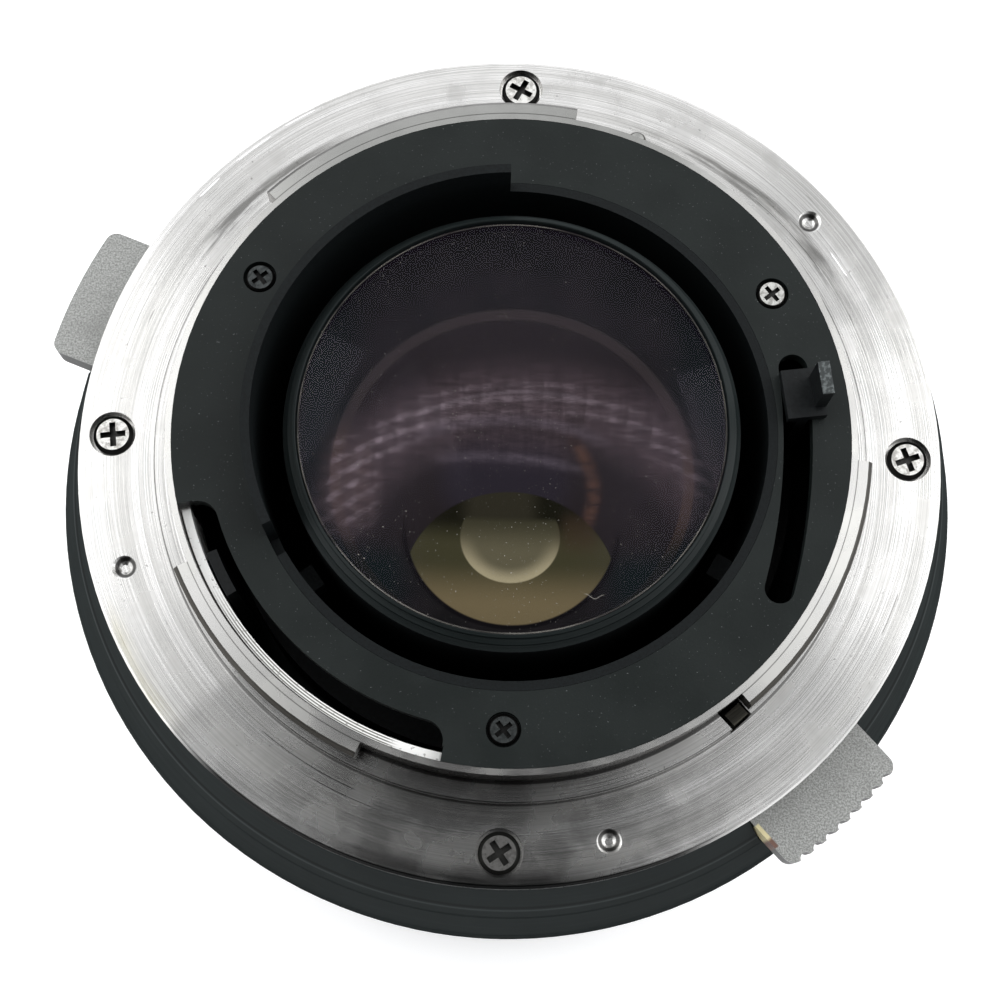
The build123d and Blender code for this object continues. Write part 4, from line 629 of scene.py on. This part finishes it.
def glass_reflections():
    material, tree = new_material("glass_inner_reflections")
    # Everything in this material is painted reflection and painted light seen in the glass
    point = place_mm(tree)
    x, y = add(tree, "SeparateXYZ", point)[:2]
    flat = add(tree, "CombineXYZ", {"X": x, "Y": y})[0]
    cloud = add(tree, "TexNoise", {"Vector": flat, "Scale": 1 / 3.0, "Detail": 3.0, "Roughness": 0.55})[0]

    # Rows of small bright dots, as a grid of lamps makes after many reflections
    drawn_out = add(tree, "VectorMath", flat, (0.55, 2.2, 1.0), operation="MULTIPLY")[0]
    rows = add(tree, "TexNoise", {"Vector": drawn_out, "Scale": 1.0, "Detail": 3.0, "Roughness": 0.7})[0]
    upright = add(tree, "VectorMath", flat, (2.4, 0.35, 1.0), operation="MULTIPLY")[0]
    columns = add(tree, "TexNoise", {"Vector": upright, "Scale": 1.0, "Detail": 2.0})[0]
    weave = ramps(tree, (rows, 0.3, 0.7, 0.55, 1.15), (columns, 0.35, 0.65, 0.8, 1.1))

    colour = stain(tree, linear("#181719"), cloud, 0.3, 0.7, 1.0, "#1f1c1f")
    side = add(tree, "Math", x, operation="ABSOLUTE")[0]
    green_edge = add(tree, "MapRange", side, 9.0, 13.0, 0.0, 0.8, **SMOOTH)[0]
    low_corner = ramps(tree, (y, -5.5, -8.5), (side, 5.5, 8.0))
    colour = lay_over(tree, colour, strongest(tree, green_edge, (low_corner, 0.9)), "#10181a")

    # The rim of the next element, seen as a brown ring that the tilt of the view moves down
    ring_distance = add(tree, "VectorMath", flat, RING_CENTRE, operation="DISTANCE")["Value"]
    inside_ring = ramps(tree, (ring_distance, RING_RADIUS - 0.15, RING_RADIUS - 0.3), (y, -9.5, -7.0))
    colour = lay_over(tree, colour, inside_ring, "#221d20", 0.85)
    band = near(tree, ring_distance, RING_RADIUS, 0.33, 0.16)
    ring_colour = stain(tree, linear("#322c2e"), y, 1.0, -3.0, 1.0, "#43342c")
    colour = lay_over(tree, colour, fade(tree, band, y, -9.0, -4.0, 0.1, 0.9), ring_colour)

    # The lavender arch and the two rows below it
    arch_distance = add(tree, "VectorMath", flat, ARCH_CENTRE, operation="DISTANCE")["Value"]
    within_ring = add(tree, "MapRange", ring_distance, RING_RADIUS + 0.95, RING_RADIUS - 0.05, 0.3, 1.0,
                      **SMOOTH)[0]
    arch = near(tree, arch_distance, ARCH_RADIUS, 2.2, 3.0)
    below_arch = add(tree, "MapRange", y, -9.5, -6.0, **SMOOTH)[0]
    under_arch = near_both(tree, (x, -0.6, 4.6, 3.0), (y, 0.1, 1.7, 2.0))
    halo = strongest(tree, (arch, within_ring, below_arch), (under_arch, 0.8))
    colour = lay_over(tree, colour, halo, "#4a3e45", weave, 0.75)
    lower_left = near_both(tree, (x, -10.4, 1.4, 2.0), (y, -3.6, 2.6, 3.0))
    colour = lay_over(tree, colour, lower_left, "#48393a", weave, 0.6)
    row_curve = add(tree, "VectorMath", flat, ROW_CURVE_CENTRE, operation="DISTANCE")["Value"]
    lamp_row = waves(tree, row_curve, LAMP_ROW)
    wobble = add(tree, "Math", columns, 6.0, operation="MULTIPLY")[0]
    lamp_column = waves(tree, x, LAMP_COLUMN, wobble)
    lamps = ramps(tree, (lamp_row, -0.4, 1.0, 0.25, 1.0), (lamp_column, -0.8, 1.0, 0.45, 1.0))
    lamps = fade(tree, lamps, rows, 0.35, 0.65, 0.35, 1.0)
    crest = near(tree, arch_distance, ARCH_RADIUS + 0.2, 0.9, 1.6)
    lit = strongest(tree, (crest, below_arch), lower_left)
    wings = add(tree, "MapRange", x, -1.0, -6.0, 0.42, 0.75, **SMOOTH)[0]
    colour = lay_over(tree, colour, lit, "#887985", within_ring, lamps, wings)
    thin_row = fade(tree, near(tree, arch_distance, ARCH_RADIUS + 0.5, 0.12, 0.24), side, 7.5, 4.0)
    colour = lay_over(tree, colour, thin_row, "#776b76", weave, 0.3)
    dark_distance = add(tree, "VectorMath", flat, DARK_CENTRE, operation="DISTANCE")["Value"]
    inner_dark = ramps(tree, (dark_distance, 5.2, 3.0), (y, 0.8, -1.6, 0.35, 1.0))
    colour = lay_over(tree, colour, inner_dark, "#28242e", 0.7)
    row_distance = add(tree, "VectorMath", flat, SECOND_ROW_CENTRE, operation="DISTANCE")["Value"]
    second_row = fade(tree, near(tree, row_distance, SECOND_ROW_RADIUS, 0.35, 0.7), side, 7.5, 4.5)
    third_distance = add(tree, "VectorMath", flat, THIRD_ROW_CENTRE, operation="DISTANCE")["Value"]
    third_row = fade(tree, near(tree, third_distance, THIRD_ROW_RADIUS, 0.3, 0.6), side, 6.0, 3.0)
    colour = lay_over(tree, colour, strongest(tree, second_row, third_row), "#6d6270", weave, 0.26)

    # A thin orange arc on the right
    arc_distance = add(tree, "VectorMath", flat, ARC_CENTRE, operation="DISTANCE")["Value"]
    arc = fade(tree, near(tree, arc_distance, ARC_RADIUS, 0.35, 0.8), x, 3.4, 4.8)
    arc = fade(tree, arc, y, 1.4, -0.4)
    arc = fade(tree, arc, rows, 0.35, 0.6, 0.2, 1.0)
    colour = lay_over(tree, colour, arc, "#6b4b3f", 0.36)

    # The bright table below, seen through the whole lens between two round rims
    lower_rim = add(tree, "VectorMath", flat, LOWER_RIM_CENTRE, operation="DISTANCE")["Value"]
    upper_rim = add(tree, "VectorMath", flat, UPPER_RIM_CENTRE, operation="DISTANCE")["Value"]
    table = ramps(tree, (lower_rim, TABLE_RADIUS, TABLE_RADIUS - 0.15),
                  (upper_rim, TABLE_RADIUS, TABLE_RADIUS - 0.15))
    dark_rim = fade(tree, near(tree, lower_rim, TABLE_RADIUS + 0.1, 0.14, 0.18), y, -5.5, -7.5)
    colour = lay_over(tree, colour, dark_rim, "#0f0d10", 0.8)
    table_colour = stain(tree, linear("#16150f"), y, -5.4, -7.6, 1.0, "#3b3829")
    table_colour = stain(tree, table_colour, y, -8.4, -11.8, 1.0, "#6c5f49")
    upper_fan = fade(tree, near(tree, x, -0.6, 2.3, 1.6), y, -5.9, -5.3)
    table_colour = lay_over(tree, table_colour, upper_fan, "#37332b", 0.5)
    disc_distance = add(tree, "VectorMath", flat, DISC_CENTRE, operation="DISTANCE")["Value"]
    disc = ramps(tree, (disc_distance, DISC_RADIUS, DISC_RADIUS - 0.12), (y, -5.2, -5.75))
    glow = ramps(tree, (disc_distance, DISC_RADIUS - 1.3, DISC_RADIUS - 0.1), (y, -6.4, -9.4))
    disc_shade = stain(tree, linear("#373429"), y, -5.4, -8.0, 1.0, "#5a5445")
    disc_colour = lay_over(tree, disc_shade, glow, "#a0947c")
    table_colour = lay_over(tree, table_colour, disc, disc_colour, 0.95)
    fan = near_both(tree, (x, 4.6, 1.1, 1.2), (y, -6.4, 1.2, 1.6))
    table_colour = lay_over(tree, table_colour, fan, "#3a2e24", 0.6)
    colour = lay_over(tree, colour, table, table_colour)

    # Painted light: the painted reflections and what is seen through the elements glow a little, whatever
    # falls on the glass
    shader = add(tree, "BsdfPrincipled", {
        "Base Color": colour, "Roughness": 0.9, "Specular IOR Level": 0.0, "Emission Color": colour,
        "Emission Strength": 0.25,
    })[0]
    return finish_material(material, shader)


# %% [markdown]
# Each record slot gets its finish, and each piece of the frame keeps its shape and takes the finish of its
# slot.

# %% Give every piece of the frame its finish
finishes = {
    "chromed_brass": chromed_brass(),
    "black_anodised": anodised_black(),
    "satin_black_paint": satin_black_enamel(),
    "matt_black_paint": flat_black_paint(),
    "black_rubber": moulded_rubber(),
    "nickel_screws": screw_steel("steel_nickel_plated", "#dddcd8", "#a5a39e", FLANGE_HEAD_TOP, -90.0,
                                 "#686765", "#504f4d", "#2b2b29"),
    "blackened_screws": screw_steel("steel_blackened_screw", "#3d4040", "#232626", COVER_HEAD_TOP, 30.0,
                                    "#c4c4c0", "#8e8d89", "#0d0c0b"),
    "satin_aluminium": blasted_aluminium(),
    "yellow_zinc": turned_metal("steel_yellow_zinc", "#4c4a43", "#2c2b28", 0.45),
    "blackened_steel": blackened_steel(),
    "plain_aluminium": turned_metal("aluminium_turned", "#a2a4a5", "#7f8182", 0.35),
    "turned_brass": turned_metal("brass_turned", "#b99755", "#93733a", 0.3),
    "spring_steel": turned_metal("steel_spring_wire", "#9a9b9b", "#6f7070", 0.3),
    "coated_glass": coated_face(),
}
slot_of = {part["node"]: part["material_slot"] for part in frame["record"]["subparts"]}
for name, node in nodes.items():
    node.data.materials.clear()
    node.data.materials.append(finishes[slot_of[name]])
print("finishes on", len(nodes), "pieces")

# %% [markdown]
# Camera, floor and lamps. The photo was taken from a little below the axis, close up, so the camera stands
# 105 mm behind the flange and looks down at it. The floor carries the front rim. It is pale, and rays from
# the camera, from metal and from glass see it brighter than it is, so that it comes out white and keeps its
# shadow.

# %% Objects and camera
def show(name, data):
    """A new object in the scene."""
    thing = bpy.data.objects.new(name, data)
    bpy.context.collection.objects.link(thing)
    return thing


def mesh_piece(name, points, faces, material):
    """A smooth mesh of one material, as an object in the scene."""
    mesh = bpy.data.meshes.new(name)
    mesh.from_pydata([tuple(point) for point in points], [], faces)
    mesh.materials.append(material)
    mesh.shade_smooth()
    return show(name, mesh)


CAMERA_PLACE = (-1.262, -32.657, 105.123)
CAMERA_TURN = (15.361, -0.810, 1.671)
SENSOR_WIDTH = 36.0
FOCAL_PIXELS = 1635.06
PICTURE_PIXELS = 1000
FOCAL_LENGTH = FOCAL_PIXELS * SENSOR_WIDTH / PICTURE_PIXELS

camera_data = bpy.data.cameras.new("camera")
camera_data.sensor_width = SENSOR_WIDTH
camera_data.sensor_fit = "HORIZONTAL"
camera_data.lens = FOCAL_LENGTH
camera_data.clip_start = 0.005
camera = show("camera", camera_data)
camera.location = Vector(CAMERA_PLACE) * MM
camera.rotation_euler = Euler([math.radians(v) for v in CAMERA_TURN], "XYZ")
bpy.context.scene.camera = camera
print("camera with a", round(camera_data.lens, 1), "mm lens")


# %% Floor
def floor_material():
    material, tree = new_material("floor_pale_card")
    rays = add(tree, "LightPath")
    seen = strongest(tree, *(rays[f"Is {kind} Ray"] for kind in ("Camera", "Glossy", "Transmission")))
    lift = add(tree, "Math", seen, 0.35, operation="MULTIPLY")[0]
    card = add(tree, "BsdfDiffuse", {"Color": linear("#f4f4f4")})[0]
    glow = add(tree, "Emission", {"Color": linear("#ffffff"), "Strength": lift})[0]
    shader = add(tree, "AddShader", card, glow)[0]
    return finish_material(material, shader)


FLOOR_HALF = 1.5
FLOOR_GAP = 0.05
floor_height = cad_box[0].z - FLOOR_GAP * MM
corners = [(FLOOR_HALF * x, FLOOR_HALF * y, floor_height) for x, y in ((-1, -1), (1, -1), (1, 1), (-1, 1))]
floor = mesh_piece("floor", corners, [(0, 1, 2, 3)], floor_material())
print("floor at", round(floor_height / MM, 1), "mm")


# %% Lamps and sky
LAMP_SIZE = 420


def softbox(name, place, power):
    """A square studio lamp, placed in millimetres, that looks at the middle of the flange."""
    lamp_data = bpy.data.lights.new(name, "AREA")
    lamp_data.shape = "SQUARE"
    lamp_data.size = LAMP_SIZE * MM
    lamp_data.energy = power
    lamp = show(name, lamp_data)
    lamp.location = Vector(place) * MM
    lamp.rotation_euler = Vector(place).to_track_quat("Z", "Y").to_euler()


softbox("lamp_left", (-420, 160, 420), 1.1)
softbox("lamp_right", (440, 120, 420), 1.2)

world = bpy.data.worlds.new("studio")
bpy.context.scene.world = world
world.use_nodes = True
sky = world.node_tree
sky.nodes.clear()
# Overhead and towards the person holding the camera it is dark. A wide window on either side is bright,
# the wall behind is grey, and everything near the horizon is pale. The left window has a sharp near end.
heading = add(sky, "TexCoord")["Generated"]
east, north, up = add(sky, "SeparateXYZ", heading)[:]
west = add(sky, "Math", east, -1.0, operation="MULTIPLY")[0]
turn_left = add(sky, "Math", north, west, operation="ARCTAN2")[0]
turn_right = add(sky, "Math", north, east, operation="ARCTAN2")[0]
flat_heading = add(sky, "CombineXYZ", {"X": east, "Y": north})[0]
lean = add(sky, "VectorMath", flat_heading, operation="LENGTH")["Value"]
window_height = add(sky, "MapRange", lean, 0.12, 0.34, 0.0, 1.5, **SMOOTH)[0]
left_window = near(sky, turn_left, 0.24, 0.92, 0.12)
right_window = ramps(sky, (turn_right, -1.4, -0.1), (turn_right, 1.25, 0.7))
wall_light = add(sky, "MapRange", north, 0.3, 0.52, 0.0, 1.55, **SMOOTH)[0]
horizon_light = add(sky, "MapRange", up, 0.42, 0.12, 0.0, 0.7, **SMOOTH)[0]
strength = strongest(sky, (left_window, window_height), (right_window, window_height), wall_light,
                     horizon_light)
strength = add(sky, "Math", strength, 0.05, operation="ADD")[0]
background = add(sky, "Background", {"Color": linear("#fcfdff"), "Strength": strength})[0]
add(sky, "OutputWorld", {"Surface": background})
bpy.context.scene.view_settings.view_transform = "Standard"
print("two lamps and a sky")


# %% [markdown]
# The reflections inside the rear element are painted on a shallow bowl, turned from one arc. It is deepest
# at the axis, so they shift a little against the rim when the view moves, as they do in a real lens.

# %% Bowl of inner reflections
def lathe(name, profile, steps, material):
    """Turns (radius, height) points in millimetres about the axis. Radius 0 closes the end."""
    points = []
    rings = []
    for radius, height in profile:
        if radius == 0:
            rings.append([len(points)])
            points.append((0, 0, height * MM))
            continue
        rings.append(list(range(len(points), len(points) + steps)))
        for step in range(steps):
            turn = 2 * math.pi * step / steps
            points.append((radius * MM * math.cos(turn), radius * MM * math.sin(turn), height * MM))
    faces = []
    for lower, upper in zip(rings, rings[1:]):
        for step in range(steps):
            after = (step + 1) % steps
            face = [lower[step % len(lower)], lower[after % len(lower)], upper[after % len(upper)],
                    upper[step % len(upper)]]
            faces.append([index for place, index in enumerate(face) if index not in face[:place]])
    return mesh_piece(name, points, faces, material)


BOWL_RADIUS = 13.8
BOWL_RIM = 4.3
BOWL_FLOOR = 1.0
BOWL_EDGE = 0.5
BOWL_RINGS = 24
BOWL_STEPS = 128
bowl_profile = [(BOWL_RADIUS, BOWL_RIM - BOWL_EDGE)]
for ring in range(BOWL_RINGS, -1, -1):
    share = ring / BOWL_RINGS
    bowl_profile.append((BOWL_RADIUS * share, BOWL_FLOOR + (BOWL_RIM - BOWL_FLOOR) * share ** 2))
bowl = lathe("glass_painted_reflections", bowl_profile, BOWL_STEPS, glass_reflections())
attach(bowl, "rear_group")
print("bowl of", len(bowl.data.polygons), "faces")

# %% [markdown]
# Two coil springs push each button outwards. In the frame they are plain sleeves, so coils of the same size
# take their place here.

# %% Coil springs behind the buttons
WIRE_RADIUS = 0.15
COIL_TURNS = 5
WIRE_STEPS = 18
WIRE_SIDES = 8
END_GAP = 0.02
SIDE_GAP = 0.04


def coil_springs(name, button_angle):
    """Coils in place of a pair of sleeves, measured on the sleeves."""
    sleeves = nodes[name]
    facing = math.radians(button_angle)
    outwards = Vector((math.cos(facing), math.sin(facing), 0))
    sideways = Vector((-math.sin(facing), math.cos(facing), 0))
    spots = [sleeves.matrix_world @ vertex.co / MM for vertex in sleeves.data.vertices]
    reach = [spot.dot(outwards) for spot in spots]
    offsets = [spot.dot(sideways) for spot in spots]
    heights = [spot.z for spot in spots]
    seat, end = min(reach) + WIRE_RADIUS, max(reach) - WIRE_RADIUS - END_GAP
    middle = (min(heights) + max(heights)) / 2
    sleeve_radius = (max(heights) - min(heights)) / 2
    coil_radius = sleeve_radius - WIRE_RADIUS - SIDE_GAP
    points = []
    faces = []
    for offset in (min(offsets) + sleeve_radius, max(offsets) - sleeve_radius):
        first = len(points)
        for step in range(COIL_TURNS * WIRE_STEPS + 1):
            share = step / (COIL_TURNS * WIRE_STEPS)
            turn = 2 * math.pi * COIL_TURNS * share
            spoke = sideways * math.cos(turn) + Vector((0, 0, 1)) * math.sin(turn)
            centre = outwards * (seat + (end - seat) * share) + sideways * offset + Vector((0, 0, middle))
            for side in range(WIRE_SIDES):
                roll = 2 * math.pi * side / WIRE_SIDES
                ring_point = spoke * (coil_radius + WIRE_RADIUS * math.cos(roll))
                points.append((centre + ring_point + outwards * WIRE_RADIUS * math.sin(roll)) * MM)
        for step in range(COIL_TURNS * WIRE_STEPS):
            for side in range(WIRE_SIDES):
                here = first + step * WIRE_SIDES
                after = (side + 1) % WIRE_SIDES
                next_ring = here + WIRE_SIDES
                faces.append((here + side, here + after, next_ring + after, next_ring + side))
        faces.append(tuple(range(first + WIRE_SIDES - 1, first - 1, -1)))
        last = first + COIL_TURNS * WIRE_STEPS * WIRE_SIDES
        faces.append(tuple(range(last, last + WIRE_SIDES)))
    coils = mesh_piece(name + "_coils", points, faces, finishes["spring_steel"])
    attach(coils, "fixed_barrel")
    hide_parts(name)
    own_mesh(coils)


coil_springs("preview_springs", 159.5)
coil_springs("release_springs", RELEASE_ANGLE)

# %% [markdown]
# Each ring is engraved with its numbers, and white paint is wiped into them. They face a person who stands
# behind the lens, at the top of the barrel, where the index line is. A text curve gives the outlines, and
# its flat mesh is wrapped round the ring: across becomes a turn, and up becomes a step towards the front.

# %% Figures and index lines
FIGURE_PROUD = 0.05
END_STEPS = 8
white_paint = filled_paint("paint_white_filled", "#dfe0dc", "#4a4d4c")
orange_paint = filled_paint("paint_orange_filled", "#d96a1e", "#5a3a24")


def wrap(mesh, radius, slope, angle, height):
    """Wraps a flat mesh, drawn in millimetres, round a ring that widens by slope towards the front."""
    for vertex in mesh.vertices:
        across, up, out = vertex.co
        turn = math.radians(angle) - across / radius
        reach = (radius + slope * up + out) * MM
        vertex.co = (reach * math.cos(turn), reach * math.sin(turn), (height - up) * MM)


def place_mark(name, mesh, body, paint):
    mesh.materials.clear()
    mesh.materials.append(paint)
    mark = show(name, mesh)
    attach(mark, body)


def figure(name, words, size, radius, slope, angle, height, body, paint):
    curve = bpy.data.curves.new(name + "_outline", "FONT")
    curve.body = words
    curve.size = size
    curve.align_x = "CENTER"
    curve.align_y = "CENTER"
    curve.extrude = FIGURE_PROUD
    curve.resolution_u = 3
    outline = show(name + "_outline", curve)
    bpy.context.view_layer.update()
    mesh = bpy.data.meshes.new_from_object(outline.evaluated_get(bpy.context.evaluated_depsgraph_get()))
    bpy.data.objects.remove(outline)
    wrap(mesh, radius, slope, angle, height)
    place_mark(name, mesh, body, paint)


def index_line(name, width, length, radius, angle, height, body, paint):
    """A short line with round ends along the barrel."""
    shape = bmesh.new()
    outline = []
    for end, start_turn in ((1, 0), (-1, 180)):
        for step in range(END_STEPS + 1):
            turn = math.radians(start_turn + 180 * step / END_STEPS)
            centre = end * (length - width) / 2
            across, up = width / 2 * math.cos(turn), centre + width / 2 * math.sin(turn)
            outline.append(shape.verts.new((across, up, 0)))
    face = shape.faces.new(outline)
    raised = bmesh.ops.extrude_face_region(shape, geom=[face])
    for item in raised["geom"]:
        if isinstance(item, bmesh.types.BMVert):
            item.co.z += FIGURE_PROUD
    mesh = bpy.data.meshes.new(name)
    bmesh.ops.recalc_face_normals(shape, faces=shape.faces)
    shape.to_mesh(mesh)
    shape.free()
    wrap(mesh, radius, 0, angle, height)
    place_mark(name, mesh, body, paint)


INDEX_ANGLE = 90.0
CLICK_STEP = 7.0
APERTURE_RADIUS = 31.27
APERTURE_SLOPE = 0.31
RING_OUTSIDE = 31.2
APERTURE_FIGURES = ("3.5", "4", "5.6", "8", "11", "16", "22")
# The turn in degrees at which each number meets the index line
ZOOM_FIGURES = ((0.0, "35"), (25.0, "50"), (48.0, "70"), (70.0, "105"))
FOCUS_FIGURES = ((12.0, "10"), (30.0, "5"), (52.0, "3"), (78.0, "2"), (108.0, "1.5"), (142.0, "1.2"),
                 (178.0, "1"))
for click, words in enumerate(APERTURE_FIGURES):
    figure(f"aperture_figure_{click + 1}", words, 2.1, APERTURE_RADIUS, APERTURE_SLOPE,
           INDEX_ANGLE - CLICK_STEP * click, -7.2, "aperture", white_paint)
for turn, words in ZOOM_FIGURES:
    figure(f"zoom_figure_{words}", words, 2.3, RING_OUTSIDE, 0, INDEX_ANGLE - turn, -18.0, "zoom",
           white_paint)
for turn, words in FOCUS_FIGURES:
    tag = words.replace(".", "_")
    figure(f"focus_figure_{tag}", words, 2.5, RING_OUTSIDE, 0, INDEX_ANGLE - turn, -39.0, "focus",
           white_paint)
    index_line(f"focus_line_{tag}", 0.28, 1.2, RING_OUTSIDE, INDEX_ANGLE - turn, -36.9, "focus",
               white_paint)
index_line("index_line_rear", 0.5, 1.7, 31.0, INDEX_ANGLE, -14.8, "fixed_barrel", orange_paint)
index_line("index_line_front", 0.5, 1.1, nodes["index_ring"].bound_box[6][0] / MM, INDEX_ANGLE, -35.2,
           "fixed_barrel", orange_paint)
print("figures on three rings and two index lines")
